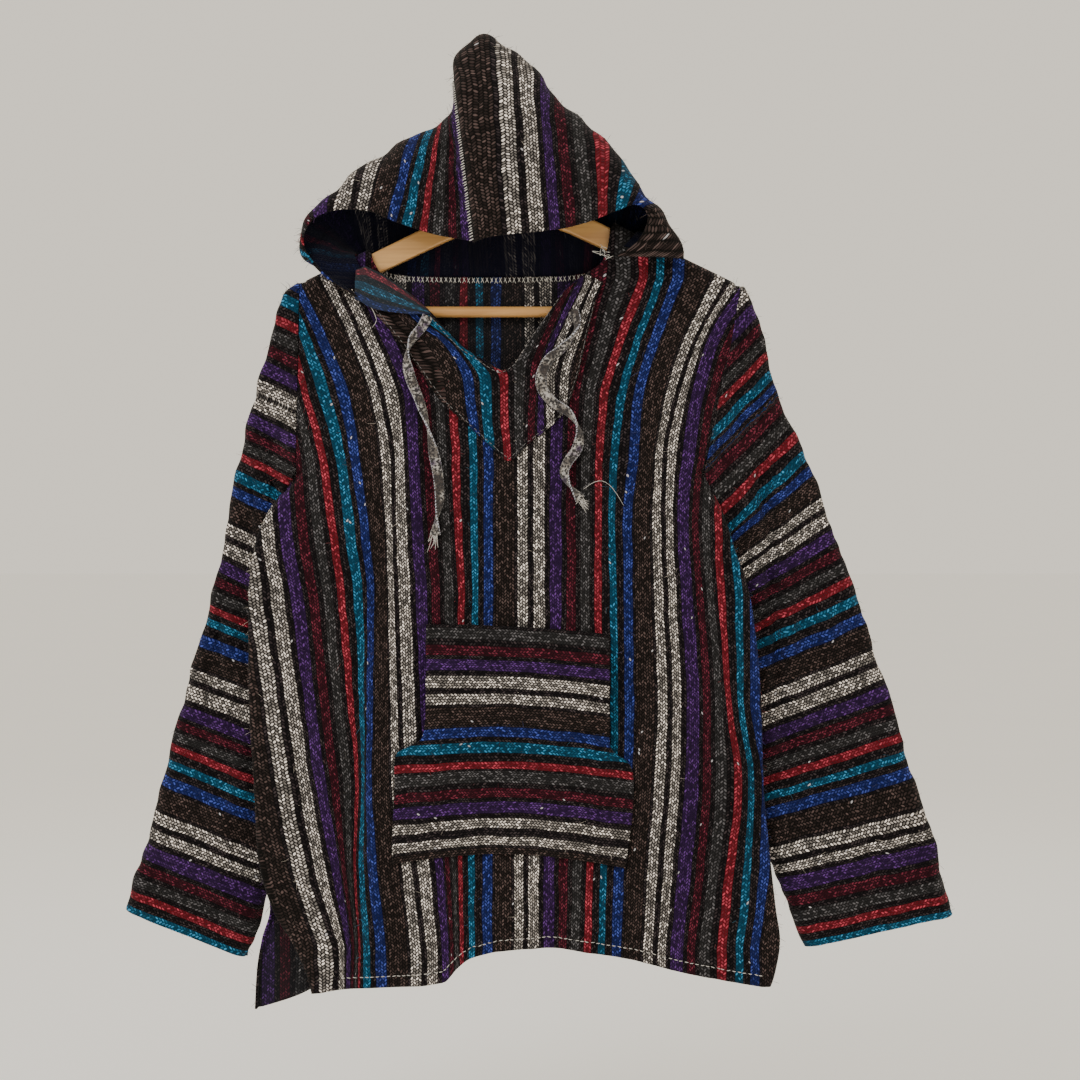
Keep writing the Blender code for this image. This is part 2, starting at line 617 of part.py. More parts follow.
def make_hanger_bar(finish, collection):
    """The hanger's round lower bar."""
    length = 2 * (BAR_END - HALF_SEAM) * MM
    bpy.ops.mesh.primitive_cylinder_add(vertices=20, radius=BAR_RADIUS * MM, depth=length,
                                        location=(0, 0, BAR_Z * MM), rotation=(0, math.pi / 2, 0))
    bar = bpy.context.active_object
    bar.name = "hanger_bar"
    for owner in list(bar.users_collection):
        owner.objects.unlink(bar)
    collection.objects.link(bar)
    bar.data.materials.append(finish)
    bar.data.shade_smooth()
    return bar


def hook_points():
    """The hook's wire, from the wood up round the nail."""
    centre = HOOK_WIRE - HOOK_RADIUS
    foot = -ARM_TOP - ARM_SLOPE * APEX_ROUND + HALF_SEAM
    points = [(0, 0, foot), (0, 0, -85), (0, 0, -56), (1.0, 0, -40)]
    for k in range(17):
        turn = math.radians(-62 + 262 * k / 16)
        points.append((HOOK_RADIUS * math.cos(turn), 0, centre + HOOK_RADIUS * math.sin(turn)))
    return points


def main():
    clear_scene()
    hoodie = bpy.data.collections.new("baja_hoodie")
    bpy.context.scene.collection.children.link(hoodie)
    cloth = material("cloth", 0.92)
    facing = material("facing", 0.92)
    pouch = material("pocket", 0.92)
    tie = material("tie", 0.9)
    wood = material("wood", 0.45)
    steel = material("steel", 0.3, 1.0)
    make_cloth("front", body_grid("front"), cloth, hoodie)
    make_cloth("back", body_grid("back"), cloth, hoodie, flip=True)
    make_cloth("sleeve_left", sleeve_grid(SLEEVE_LEFT, SLEEVE_FOLDS_LEFT, -1), cloth, hoodie, tube=True)
    make_cloth("sleeve_right", sleeve_grid(SLEEVE_RIGHT, SLEEVE_FOLDS_RIGHT, 1), cloth, hoodie,
               tube=True, flip=True)
    make_cloth("hood_left", hood_grid(HOOD_LEFT, True), cloth, hoodie)
    make_cloth("hood_right", hood_grid(HOOD_RIGHT, False), cloth, hoodie)
    make_cloth("neck_facing", facing_grid(), facing, hoodie)
    make_cloth("pocket", pocket_grid(), pouch, hoodie)
    make_wire("tie_left", tie_points(TIE_LEFT), TIE_RADIUS, tie, hoodie)
    make_wire("tie_right", tie_points(TIE_RIGHT), TIE_RADIUS, tie, hoodie)
    make_hanger_arms(wood, hoodie)
    make_hanger_bar(wood, hoodie)
    make_wire("hanger_hook", hook_points(), HOOK_WIRE, steel, hoodie)


main()
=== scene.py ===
"""Looks of a handwoven baja hoodie on its wooden hanger.

Every cut piece of cloth is a thin shell through a fine grid of points. The grid follows the same
section tables as the solids do, in millimetres, and adds the drape, the creases and the sewing.
The cloth's stripes follow the piece's own UV map: U runs across the stripes and V along them,
both in metres of flat cloth.
"""
import logging
import math
from dataclasses import dataclass
from enum import Enum
from typing import NamedTuple, Sequence

import bpy
import numpy as np
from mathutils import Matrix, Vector


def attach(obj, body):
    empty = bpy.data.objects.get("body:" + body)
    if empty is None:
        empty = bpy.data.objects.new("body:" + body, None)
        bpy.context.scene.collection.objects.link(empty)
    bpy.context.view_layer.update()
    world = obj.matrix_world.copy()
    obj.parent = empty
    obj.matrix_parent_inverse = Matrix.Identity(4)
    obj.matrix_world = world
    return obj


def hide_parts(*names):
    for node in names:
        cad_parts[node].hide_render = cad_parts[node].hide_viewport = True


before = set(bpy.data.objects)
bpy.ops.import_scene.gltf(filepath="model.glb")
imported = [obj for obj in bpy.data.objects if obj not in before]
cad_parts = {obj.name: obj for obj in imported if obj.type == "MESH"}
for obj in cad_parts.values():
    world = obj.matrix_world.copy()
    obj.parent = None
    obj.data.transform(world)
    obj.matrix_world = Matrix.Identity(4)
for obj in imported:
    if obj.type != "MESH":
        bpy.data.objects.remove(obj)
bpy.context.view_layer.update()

LOG = logging.getLogger("baja_hoodie")
MM = 0.001
Grid = np.ndarray
Colour = tuple[float, float, float]

# ---- sizes that the solids share, in mm ----
WALL = 2.2              # thickness of the handwoven cloth
LAYER = 3.1             # from the middle of one layer to the middle of the layer on it
ARM_SEAM = 0.45         # between the body's edge and the sleeve's
HALF_SEAM = 0.25        # each panel's share of the gap at a side seam
SEAM_HALF = 0.5         # half the gap at the shoulder seam
STRIP = 3.0             # straight strip of cloth beside a seam
SHOULDER_HALF = 10.0    # half the distance between front and back over the hanger
SIDE_ROUND = 6.0        # radius of the fold at the body's sides
TURN_ROUND = 3.0        # radius where the back turns in behind the sleeves
SHOULDER_END_Z = -212.0  # about the height of the shoulders' ends
UNDERARM_Z = -400.0
UNDERARM_GAP = 1.5      # front and back part by this much on each side of the underarm
HEM_Z = -915.0          # about the height of the hem
STEP_WIDE = 42.0        # width over which the back returns to its full depth
PHOTO_X = 517.0         # the hook's bearing point in the picture, one millimetre to a pixel
PHOTO_Y = 72.0


class Section(NamedTuple):
    """One height of the body, in mm."""

    z: float
    left: float
    right: float
    back_left: float
    back_right: float
    front: float
    back: float
    tuck: float
    step_left: float
    step_right: float


class Point(NamedTuple):
    """A place seen from the front, in mm."""

    x: float
    z: float


class Fold(NamedTuple):
    """A soft fold along a line, its width and how far it stands out, in mm."""

    x0: float
    z0: float
    x1: float
    z1: float
    wide: float
    high: float


class Ring(NamedTuple):
    """One ring of a sleeve, in mm."""

    x_out: float
    z_out: float
    x_in: float
    z_in: float
    y_mid: float
    thick: float


class Arch(NamedTuple):
    """One section of the hood, from its rim over the crown to the neck, in mm."""

    rim_x: float
    rim_z: float
    rim_y: float
    top_x: float
    top_z: float
    top_y: float
    neck_x: float
    neck_z: float
    neck_y: float


class Band(NamedTuple):
    """The facing's inner and outer edge at one place, in mm."""

    in_x: float
    in_z: float
    out_x: float
    out_z: float


class Pouch(NamedTuple):
    """The pocket's edges at one height, and how far its openings stand off."""

    z: float
    left: float
    right: float
    mouth: float


class Side(Enum):
    """Which wall of the body a piece is."""

    FRONT = "front"
    BACK = "back"


# The body, a row for each height: the edges of the front and of the back, how far the front and
# the back stand from the hanger's plane, how far the side seam is turned in (0 at an armhole,
# 1 below it), and where the back has come forward to pass in front of each hanging sleeve.
BODY = (
    Section(-205, -216, 224, -216, 224, 10.0, 10.0, 0.00, -200, 190),
    Section(-260, -216.8, 215.4, -216.8, 215.4, 12.0, 11.5, 0.00, -200, 185),
    Section(-320, -218.2, 203.4, -218.2, 203.4, 16.0, 13.0, 0.00, -200, 178),
    Section(-370, -219.3, 193.4, -219.3, 193.4, 18.5, 14.2, 0.00, -200, 171.8),
    Section(-400, -220, 186, -220, 186, 20.0, 15.0, 0.00, -200, 168),
    Section(-409, -225, 190, -225, 190, 20.5, 15.0, 0.02, -200, 168),
    Section(-440, -247, 204, -247, 204, 22.5, 16.0, 0.65, -204, 178),
    Section(-470, -258, 213, -258, 213, 24.5, 17.0, 1.00, -202, 182),
    Section(-528, -265, 231, -265, 231, 27.0, 18.0, 1.00, -198, 182),
    Section(-628, -264, 241, -264, 241, 30.0, 19.0, 1.00, -198, 196),
    Section(-708, -259, 243, -259, 243, 32.0, 20.0, 1.00, -206, 212),
    Section(-778, -255, 249, -255, 249, 34.0, 21.0, 1.00, -212, 222),
    Section(-833, -240, 255, -243, 255, 35.0, 22.0, 1.00, -214, 226),
    Section(-863, -222, 259, -251, 258, 35.5, 22.5, 1.00, -216, 226),
    Section(-895, -207, 254, -256, 252, 36.0, 23.0, 1.00, -218, 222),
    Section(-935, -197, 238, -258, 238, 36.0, 23.0, 1.00, -218, 210),
)

# Lines seen from the front: x and z of each row.
SHOULDER = (Point(-230, -218), Point(-216, -212), Point(-187, -198), Point(-147, -178),
            Point(-60, -134), Point(40, -123), Point(95, -150.6), Point(168, -188),
            Point(205, -206), Point(224, -216), Point(240, -228))
NECK_FRONT = (Point(-147, -178.5), Point(-145, -186), Point(-141, -194), Point(-135, -203),
              Point(-107, -222), Point(-85, -242), Point(-57, -273), Point(-27, -293),
              Point(-14, -299), Point(-2, -291), Point(13, -268), Point(31, -243),
              Point(48, -219), Point(68, -203), Point(84, -192), Point(90, -178),
              Point(93.5, -159.5), Point(96, -151.4))
NECK_BACK = (Point(-147, -178.5), Point(-145, -186), Point(-139, -193), Point(-130, -199),
             Point(-105, -203), Point(-40, -204), Point(40, -203), Point(72, -199),
             Point(84, -190), Point(90, -177), Point(93.5, -159.5), Point(96, -151.4))
HEM_FRONT = (Point(-203, -916), Point(-172, -910), Point(-117, -907), Point(-72, -903),
             Point(-58, -889), Point(-45, -880), Point(-17, -872), Point(33, -869),
             Point(73, -873), Point(123, -883), Point(163, -893), Point(203, -901),
             Point(243, -908))
HEM_BACK = (Point(-258, -932), Point(-225, -922), Point(-190, -908), Point(-120, -888),
            Point(-20, -866), Point(80, -864), Point(180, -882), Point(243, -900))

# Heights of the rows on the body's left edge, and where its columns stand across the shoulders.
ROWS = (-211.5, -212.6, -215.5, -221, -232, -252, -276, -300, -325, -350, -372, -388, -396,
        -400, -412, -430, -452, -482, -520, -562, -606, -650, -694, -738, -780, -822, -860, -892,
        -915)
FRONT_COLUMNS = (-203, -186, -166, -149.5, -146, -143.5, -139, -120, -96, -68, -40, -11, 8, 30,
                 52, 68, 74.5, 76.9, 79.6, 85, 104, 130, 160, 190)
BACK_COLUMNS = (-203, -178, -151, -147.5, -144, -141.5, -134, -112, -74, -36, 0, 34, 60, 70, 75.7,
                78.4, 84, 108, 150, 190)

# Soft folds: a line from (x0, z0) to (x1, z1), its width, and how far the cloth stands out.
FRONT_FOLDS = (
    Fold(-192, -232, -146, -450, 17, 6.0),
    Fold(-168, -300, -178, -560, 12, -4.0),
    Fold(-158, -520, -157, -930, 10, -7.5),
    Fold(-140, -560, -139, -930, 9, 4.0),
    Fold(-228, -450, -222, -850, 15, 3.5),
    Fold(-192, -600, -184, -930, 13, 4.5),
    Fold(162, -205, 118, -440, 18, 6.5),
    Fold(152, -300, 152, -520, 11, -4.5),
    Fold(134, -420, 144, -900, 12, 4.0),
    Fold(176, -440, 184, -925, 12, -6.0),
    Fold(212, -500, 222, -925, 13, 5.0),
    Fold(-88, -800, -96, -930, 12, 5.0),
    Fold(-40, -800, -54, -930, 13, -5.0),
    Fold(60, -800, 84, -930, 16, 4.5),
    Fold(-112, -310, -136, -540, 12, -3.5),
    Fold(96, -240, 100, -470, 14, -3.5),
)
BACK_FOLDS = (
    Fold(-120, -240, -96, -560, 18, 5.0),
    Fold(-60, -300, -66, -900, 15, -5.0),
    Fold(-20, -420, -26, -900, 14, 4.5),
    Fold(36, -260, 30, -900, 15, -4.5),
    Fold(84, -300, 88, -900, 15, 5.0),
    Fold(128, -420, 136, -900, 13, -4.5),
    Fold(-108, -560, -112, -900, 13, 4.0),
)

# Each sleeve, a row for each ring: its outer and inner point, its middle depth and thickness.
SLEEVE_LEFT = (
    Ring(-235, -229, -224, -405, 3.0, 22),
    Ring(-255, -298, -230, -424, 9.0, 25),
    Ring(-277, -378, -228, -460, 15.0, 26),
    Ring(-295, -478, -216, -522, 15.0, 26),
    Ring(-321, -578, -214, -618, 12.0, 26),
    Ring(-347, -678, -226, -726, 8.0, 26),
    Ring(-371, -778, -252, -826, 2.0, 27),
    Ring(-390, -836, -270, -884, -1.0, 28),
)
SLEEVE_RIGHT = (
    Ring(239, -243, 188, -406, 3.0, 22),
    Ring(256, -306, 194, -430, 9.0, 25),
    Ring(286, -378, 198, -468, 15.0, 26),
    Ring(316, -458, 200, -530, 15.0, 27),
    Ring(345, -540, 208, -600, 12.0, 27),
    Ring(372, -620, 222, -676, 8.0, 27),
    Ring(396, -708, 240, -750, 4.0, 28),
    Ring(418, -778, 266, -812, 0.0, 28),
    Ring(433, -841, 288, -873, -2.0, 29),
)
SLEEVE_FOLDS_LEFT = (
    Fold(-262, -330, -250, -600, 9, 5.0),
    Fold(-290, -420, -312, -700, 9, -4.0),
    Fold(-262, -620, -300, -840, 10, 4.0),
)
SLEEVE_FOLDS_RIGHT = (
    Fold(243, -330, 268, -690, 7, -8.0),
    Fold(258, -400, 282, -700, 8, 5.0),
    Fold(300, -480, 340, -800, 11, 3.5),
    Fold(350, -700, 362, -860, 10, -3.5),
)

# The hood, a row for each of its sections from the left front corner of the neck to the right
# one: where the section starts on the front rim, passes the crown, and ends on the neckline.
HOOD_LEFT = (
    Arch(-157, -228, -29, -168, -220, -24, -147, -217, -18.5),
    Arch(-182, -213, -32, -199, -200, -26, -153, -203, -18.5),
    Arch(-202, -193, -34, -212, -183, -24, -160, -188, -15),
    Arch(-210, -171, -35, -214, -163, -18, -160, -184, -6),
    Arch(-199, -153, -38, -203, -143, -14, -157, -184, 6),
    Arch(-177, -145, -42, -168, -112, -9, -148, -188, 13),
    Arch(-147, -146, -46, -134, -84, -6, -130, -207, 13.5),
    Arch(-117, -158, -50, -94, -61, -4, -102, -209, 13.4),
    Arch(-84, -169, -52, -72, -50, -4, -76, -210, 13.3),
    Arch(-58, -174, -50, -64, -40, -3, -58, -210, 13.3),
    Arch(-42, -177, -54, -63, -12, -3, -46, -210, 13.3),
)
HOOD_RIGHT = (
    Arch(-41, -178, -56, -62, -8, -3, -44, -210, 13.3),
    Arch(-36, -177, -63, -60, 14, -2, -36, -210, 13.3),
    Arch(-24, -174, -64, -40, 34, -1, -24, -210, 13.3),
    Arch(-2, -171, -63, -14, 26, 0, -6, -210, 13.3),
    Arch(20, -169, -61, 7, 12, 0, 12, -210, 13.3),
    Arch(33, -167, -60, 21, -5, -1, 25, -210, 13.3),
    Arch(47, -165, -58, 33, -25, -2, 38, -209, 13.3),
    Arch(73, -157, -52, 64, -49, -4, 60, -207, 13.4),
    Arch(98, -146, -44, 106, -92, -6, 82, -198, 13.6),
    Arch(118, -139, -38, 128, -126, -8, 98, -181, 14),
    Arch(129, -151, -36, 148, -150, -12, 116, -163, 10.5),
    Arch(119, -174, -36, 163, -172, -20, 119, -162, -9),
    Arch(97, -189, -34, 164, -190, -24, 106, -177, -17),
)

# The facing sewn round the neck slit: its inner and outer edge, from one shoulder to the other.
FACING = (
    Band(-134, -204, -156, -229), Band(-121, -213, -146, -238), Band(-107, -223, -137, -247),
    Band(-96, -233, -127, -259), Band(-85, -243, -117, -271), Band(-71, -259, -107, -285),
    Band(-57, -274, -96, -300), Band(-42, -284, -77, -328), Band(-27, -294, -50, -353),
    Band(-20, -298, -27, -374), Band(-14, -300, -8, -390), Band(-8, -297, 11, -373),
    Band(-1, -292, 28, -360), Band(6, -281, 42, -348), Band(14, -268, 51, -334),
    Band(22, -256, 57, -318), Band(31, -243, 62, -300), Band(39, -231, 67, -278),
    Band(49, -219, 73, -252), Band(59, -211, 79, -229), Band(69, -204, 86, -212),
)

# The pouch pocket, a row for each height: its edges, and how far each opening stands off.
POCKET = (
    Pouch(-551, -89, 91, 0.0), Pouch(-556, -89, 91, 0.15), Pouch(-570, -89, 91, 0.7),
    Pouch(-590, -89, 91, 1.0), Pouch(-612, -89, 91, 1.0), Pouch(-634, -89, 91, 1.0),
    Pouch(-652, -90, 91, 0.9), Pouch(-664, -94, 92, 0.6), Pouch(-672, -108, 98, 0.2),
    Pouch(-678, -118, 108, 0.0), Pouch(-690, -120, 114, 0.0), Pouch(-715, -120, 115, 0.0),
    Pouch(-740, -121, 113, 0.0), Pouch(-762, -122, 110, 0.0), Pouch(-778, -122, 108, 0.0),
    Pouch(-786, -122, 107, 0.0),
)
POCKET_TOP_DROP = 10.0   # the right end of the pocket's top hangs this much lower
POCKET_ARC = 12.0        # rise of its lower edge in the middle
POCKET_BULGE = 9.0
POCKET_CLEAR = 0.5

# The ties, a row for each bend of the strip, from the corner of the neck to the free end.
TIE_LEFT = (Point(-88, -246), Point(-94, -257), Point(-104, -270), Point(-109, -288),
            Point(-105, -308), Point(-97, -328), Point(-89, -352), Point(-83, -378),
            Point(-78, -402), Point(-76, -428), Point(-79, -448), Point(-80, -463))
TIE_RIGHT = (Point(56, -241), Point(60, -254), Point(54, -268), Point(43, -280),
             Point(31, -290), Point(24, -306), Point(26, -320), Point(36, -332),
             Point(50, -341), Point(59, -353), Point(62, -366), Point(59, -379),
             Point(51, -390), Point(47, -401), Point(51, -412), Point(58, -421),
             Point(63, -428))
TIE_RADIUS = 3.6         # room that a tie takes in front of the cloth beneath it

# The facing's corner that is folded outwards at the left: its fold, and its free edge below it.
LAPEL_FOLD = (Point(-159, -201), Point(-150, -197), Point(-134, -204), Point(-112, -219), Point(-88, -240))
LAPEL_EDGE = (Point(-160, -231), Point(-147, -237), Point(-128, -241), Point(-106, -245.5),
              Point(-85, -243.5))
# Loose thread ends seen on the front, and whether each lies on the folded corner.
LOOSE_ENDS = (
    (((66, -418), (76, -411), (86, -410), (96, -418), (106, -434)), False),
    (((-160, -228), (-154, -231), (-147, -232), (-140, -234), (-132, -237)), True),
    (((-94, -274), (-90, -288), (-86, -300), (-81, -312), (-77, -323)), False),
    (((-150, -232), (-144, -238), (-140, -246), (-139, -252), (-143, -258)), True),
)

# ---- the stripes' order and their drape ----
REPEAT_UNITS = 133.0    # one repeat of the stripes, in pixels of the picture's front
UNIT = 145.0 / REPEAT_UNITS  # millimetres of flat cloth to one of those
STRIPES = (             # start and end of each stripe within a repeat
    ("white", 0, 9), ("white", 15, 25), ("purple", 30, 42), ("maroon", 47, 56), ("grey", 61, 71),
    ("red", 75, 82), ("teal", 89, 97), ("blue", 103, 112), ("brown", 115, 131),
)
DASHES = {              # the threads on top
    "white": (0.560, 0.505, 0.430), "purple": (0.078, 0.030, 0.120), "maroon": (0.105, 0.018, 0.028),
    "grey": (0.082, 0.077, 0.074), "red": (0.284, 0.044, 0.058), "teal": (0.034, 0.150, 0.235),
    "blue": (0.040, 0.058, 0.200), "brown": (0.066, 0.045, 0.038), "dark": (0.034, 0.026, 0.025),
}
GROUNDS = {             # the threads between and beneath them
    "white": (0.013, 0.011, 0.010), "purple": (0.020, 0.009, 0.032), "maroon": (0.022, 0.005, 0.008),
    "grey": (0.014, 0.013, 0.012), "red": (0.110, 0.006, 0.010), "teal": (0.005, 0.040, 0.066),
    "blue": (0.006, 0.010, 0.060), "brown": (0.006, 0.005, 0.004), "dark": (0.004, 0.003, 0.004),
}
# Where chosen stripes run down the front: their place in the cloth, then a row for each height of
# the picture with the stripes' x there.
WARP_KEYS = (-17.5, -16, 12.5, 36, 78.5, 93, 107.5, 145.5, 169, 211.5, 226,
             240.5, 278.5, 344.5, 359, 373.5, 411.5, 435, 465, 477.5, 492, 506.5)
WARP_ROWS = (
    (280, 0, 154, 200, 225, 268, 282, 294, 335, 359, 408, 430,
     450, 531, 643, 660, 676, 729, 752, 790, 805, 822, 838),
    (340, 24, 178, 224, 248, 291, 305, 324, 363.5, 388, 434, 455,
     474, 531, 620, 638, 654, 695.5, 712, 745, 758, 774, 790),
    (400, 45, 199, 245, 269, 308, 326, 347, 385, 411, 452, 472,
     485, 531, 602, 621, 637, 674.5, 696, 722, 733, 749, 765),
    (460, 60, 214, 260, 284, 324, 342, 357, 394, 414, 456, 475,
     488, 531, 598, 613, 633, 662.5, 688, 710, 721, 736, 751),
    (520, 62, 216, 262, 287, 333, 350, 366, 396, 418, 458, 476,
     488, 531, 597, 611, 626, 662, 682, 703, 715.5, 730, 745),
    (600, 72.5, 226.5, 272.5, 301, 344, 361, 373, 398.5, 423, 462, 477,
     488, 531, 597, 612.5, 626, 664, 686, 709, 718, 736, 750),
    (700, 88, 242, 288, 313, 353, 365, 372, 402, 428, 462, 476,
     488, 530, 596, 614, 627, 667.5, 692, 716, 725, 737, 751),
    (780, 100, 254, 300, 325, 360, 366, 371, 405, 433, 462, 474,
     488, 528, 592, 612, 625, 664.5, 690, 717, 735, 747, 762),
    (860, 116, 270, 316, 340, 357, 363, 375, 417, 442, 461, 472,
     488, 526.5, 588, 603, 617, 658.5, 683, 711, 726, 743, 760),
    (940, 142, 296, 342, 352, 362, 368, 384, 427, 448, 462, 473,
     488, 526, 586, 600, 614, 653.5, 674, 700, 718, 736, 750),
)
# The stripes round each sleeve: the height of its outer edge in the picture, and the cloth there.
BANDS_LEFT = ((262, 121), (285, 107.5), (300, 93), (320, 78.5), (350, 51.5), (368, 36), (392.5, 12.5),
              (418, 36), (433, 51.5), (455, 78.5), (475, 93), (490, 107.5), (537.5, 145.5), (565, 169),
              (608, 211.5), (620, 226), (640, 240.5), (681, 278.5), (710, 302), (745, 344.5),
              (762, 359), (778, 373.5), (822.5, 411.5), (850, 435), (890, 477.5), (905, 492), (925, 506))
BANDS_RIGHT = ((285, 12.5), (310, 36), (330, 51.5), (355, 78.5), (375, 93), (385, 107.5), (394, 118),
               (396, 45), (405, 51.5), (420, 66), (435, 78.5), (455, 93), (470, 107.5), (510, 145.5),
               (535, 169), (580, 211.5), (600, 226), (618, 240.5), (662.5, 278.5), (690, 302),
               (735, 344.5), (755, 359), (770, 373.5), (825, 411.5), (848, 435), (895, 477.5),
               (910, 492), (924, 506.5))
BANDS_POCKET = ((620, 76), (631, 66), (649, 51.5), (662, 36), (687.5, 12.5), (712, -8), (731, -25.5),
                (747.5, -40), (766, -54.5), (778, -67), (795, -81.5), (809, -97), (835, -120.5),
                (858, -142))
# The same for the facing round the neck slit.
FACING_KEYS = (119, 130, 107.5, 93, 78.5, 66, 51.5, 36, 20, 4.5, -12)
FACING_ROWS = (
    (283, 295, 375, 390, 402, 416, 562, 572, 581, 587, 598, 612),
    (300, 305, 385, 400, 411, 426, 553, 563, 573, 579, 590, 604),
    (325, 325, 405, 423, 434, 449, 540, 552, 561, 567, 581, 597),
    (345, 346, 426, 449, 460, 476, 531, 544, 552, 558, 574, 590),
    (364, 358, 438, 462, 476, 494, 522, 538, 545, 552, 568, 583),
    (380, 364, 444, 468, 487, 504, 520, 535, 542, 549, 565, 579),
    (410, 368, 448, 472, 488, 505, 519, 533, 541, 549, 564, 578),
    (460, 376, 456, 480, 491, 508, 519, 531, 541, 550, 564, 578),
)
HOOD_LEFT_BANDS = (256, 245, 227, 208, 177, 157, 135, 102.5, 72, 47, 28)
HOOD_RIGHT_BANDS = (-20, -17, -8, 4, 20, 31, 45, 69, 90.5, 107.5, 119, 126, 131)

# Creases that the solids leave out.
FRONT_CREASES = (
    Fold(-60, -300, -80, -520, 8, 1.8), Fold(-20, -400, -22, -560, 12, 2.2),
    Fold(40, -330, 62, -560, 9, -2.0), Fold(84, -260, 74, -520, 8, 1.8),
    Fold(-206, -480, -210, -760, 7, -2.5), Fold(-246, -560, -236, -820, 6, 2.0),
    Fold(-122, -640, -126, -900, 6, 2.4), Fold(196, -480, 204, -880, 6, 2.2),
    Fold(228, -560, 236, -880, 6, -2.2), Fold(156, -520, 164, -900, 6, -2.6),
    Fold(-110, -240, -140, -420, 7, 2.2), Fold(130, -220, 98, -400, 8, -2.4),
    Fold(-176, -230, -196, -380, 7, -2.4), Fold(186, -240, 166, -380, 7, -2.2),
    Fold(-10, -800, -12, -900, 9, 2.4), Fold(108, -780, 118, -900, 8, -2.6),
)
BACK_CREASES = (
    Fold(-150, -260, -130, -600, 10, -2.5), Fold(-30, -240, -44, -640, 10, 2.2),
    Fold(60, -240, 58, -700, 10, 2.0), Fold(110, -300, 112, -860, 9, -2.2),
    Fold(6, -500, 4, -880, 9, -2.2), Fold(-90, -560, -86, -890, 9, 2.4),
    Fold(160, -520, 166, -880, 8, 2.4),
)


# ---- curves through the tables ----

FOLD_TAPER = 0.25       # share of a fold's length over which it rises at each of its ends
RIPPLE_WAVES = 7        # waves that add up to one random swell
RIPPLE_CALM = 2.2       # what their sum is divided by


def through(xs: Sequence[float], ys: Sequence[float], at: Grid) -> Grid:
    """Values on a curve through points that never swings past them.

    Args:
        xs: The points' places, rising or falling.
        ys: Their values.
        at: The places asked for.

    Returns:
        The value at each place.
    """
    xs = np.asarray(xs, float)
    ys = np.asarray(ys, float)
    if xs[0] > xs[-1]:
        xs, ys = xs[::-1], ys[::-1]
    at = np.clip(np.asarray(at, float), xs[0], xs[-1])
    step = np.diff(xs)
    slope = np.diff(ys) / step
    inner = np.where(slope[:-1] * slope[1:] > 0,
                     2 * slope[:-1] * slope[1:] / (slope[:-1] + slope[1:] + 1e-12), 0.0)
    tangent = np.concatenate(([slope[0]], inner, [slope[-1]]))
    k = np.clip(np.searchsorted(xs, at, side="right") - 1, 0, len(step) - 1)
    t = (at - xs[k]) / step[k]
    return ((1 + 2 * t) * (1 - t) ** 2 * ys[k] + t * (1 - t) ** 2 * step[k] * tangent[k]
            + t * t * (3 - 2 * t) * ys[k + 1] - t * t * (1 - t) * step[k] * tangent[k + 1])


def column(rows: Sequence[NamedTuple], name: str, z: Grid) -> Grid:
    """A table's column at the given heights."""
    return through([row.z for row in rows], [getattr(row, name) for row in rows], z)


def line_z(line: Sequence[Point], x: Grid) -> Grid:
    """Height at x of a line seen from the front."""
    return through([p.x for p in line], [p.z for p in line], x)


def smooth_rows(rows: Sequence[Sequence[float]], count: int) -> Grid:
    """Points taken evenly along a table, on a smooth curve through its rows.

    Args:
        rows: The table.
        count: How many points to take.

    Returns:
        An array of that many rows.
    """
    table = np.array(rows, float)
    at = np.linspace(0, len(table) - 1, count)
    k = np.clip(at.astype(int), 0, len(table) - 2)
    t = (at - k).reshape((-1,) + (1,) * (table.ndim - 1))
    before = table[np.maximum(k - 1, 0)]
    start, end = table[k], table[k + 1]
    after = table[np.minimum(k + 2, len(table) - 1)]
    leave = (end - before) / 2
    arrive = (after - start) / 2
    return ((1 + 2 * t) * (1 - t) ** 2 * start + t * (1 - t) ** 2 * leave
            + t * t * (3 - 2 * t) * end - t * t * (1 - t) * arrive)


def ease(low: float | Grid, high: float | Grid, at: float | Grid) -> Grid:
    """0 below low, 1 above high, and a soft S between them."""
    t = np.clip((at - low) / (high - low), 0.0, 1.0)
    return t * t * (3 - 2 * t)


def quarter(t: Grid) -> Grid:
    """Height of a quarter circle: 0 at t = 0, 1 from t = 1 on."""
    t = np.clip(t, 0.0, 1.0)
    return np.sqrt(1 - (1 - t) ** 2)


def dense(values: Sequence[float], step: float) -> Grid:
    """The same values with others put evenly between them, no further apart than a step."""
    out = [float(values[0])]
    for low, high in zip(values, values[1:]):
        parts = max(1, math.ceil(abs(high - low) / step))
        out += [low + (high - low) * k / parts for k in range(1, parts + 1)]
    return np.array(out)


def fold_height(folds: Sequence[Fold], x: Grid, z: Grid) -> Grid:
    """How far the soft folds lift the cloth at a place."""
    height = np.zeros(np.broadcast(x, z).shape)
    for fold in folds:
        along = (z - fold.z0) / (fold.z1 - fold.z0)
        middle = fold.x0 + (fold.x1 - fold.x0) * along
        taper = ease(0.0, FOLD_TAPER, along) * ease(0.0, FOLD_TAPER, 1 - along)
        height = height + fold.high * taper * np.exp(-((x - middle) / fold.wide) ** 2)
    return height


def ripple(x: Grid, z: Grid, wide: float, tall: float, seed: int) -> Grid:
    """A calm random swell, about 1 high.

    Args:
        x: Places across.
        z: Places up.
        wide: Usual distance between swells across.
        tall: Usual distance between them up.
        seed: Chooses the swell.

    Returns:
        The height at each place.
    """
    draw = np.random.default_rng(seed)
    height = np.zeros(np.broadcast(x, z).shape)
    for _ in range(RIPPLE_WAVES):
        across = 2 * math.pi / wide * draw.uniform(0.5, 1.4) * draw.choice((-1, 1))
        up = 2 * math.pi / tall * draw.uniform(0.3, 1.4)
        height = height + np.sin(across * x + up * z + draw.uniform(0, 2 * math.pi))
    return height / RIPPLE_CALM


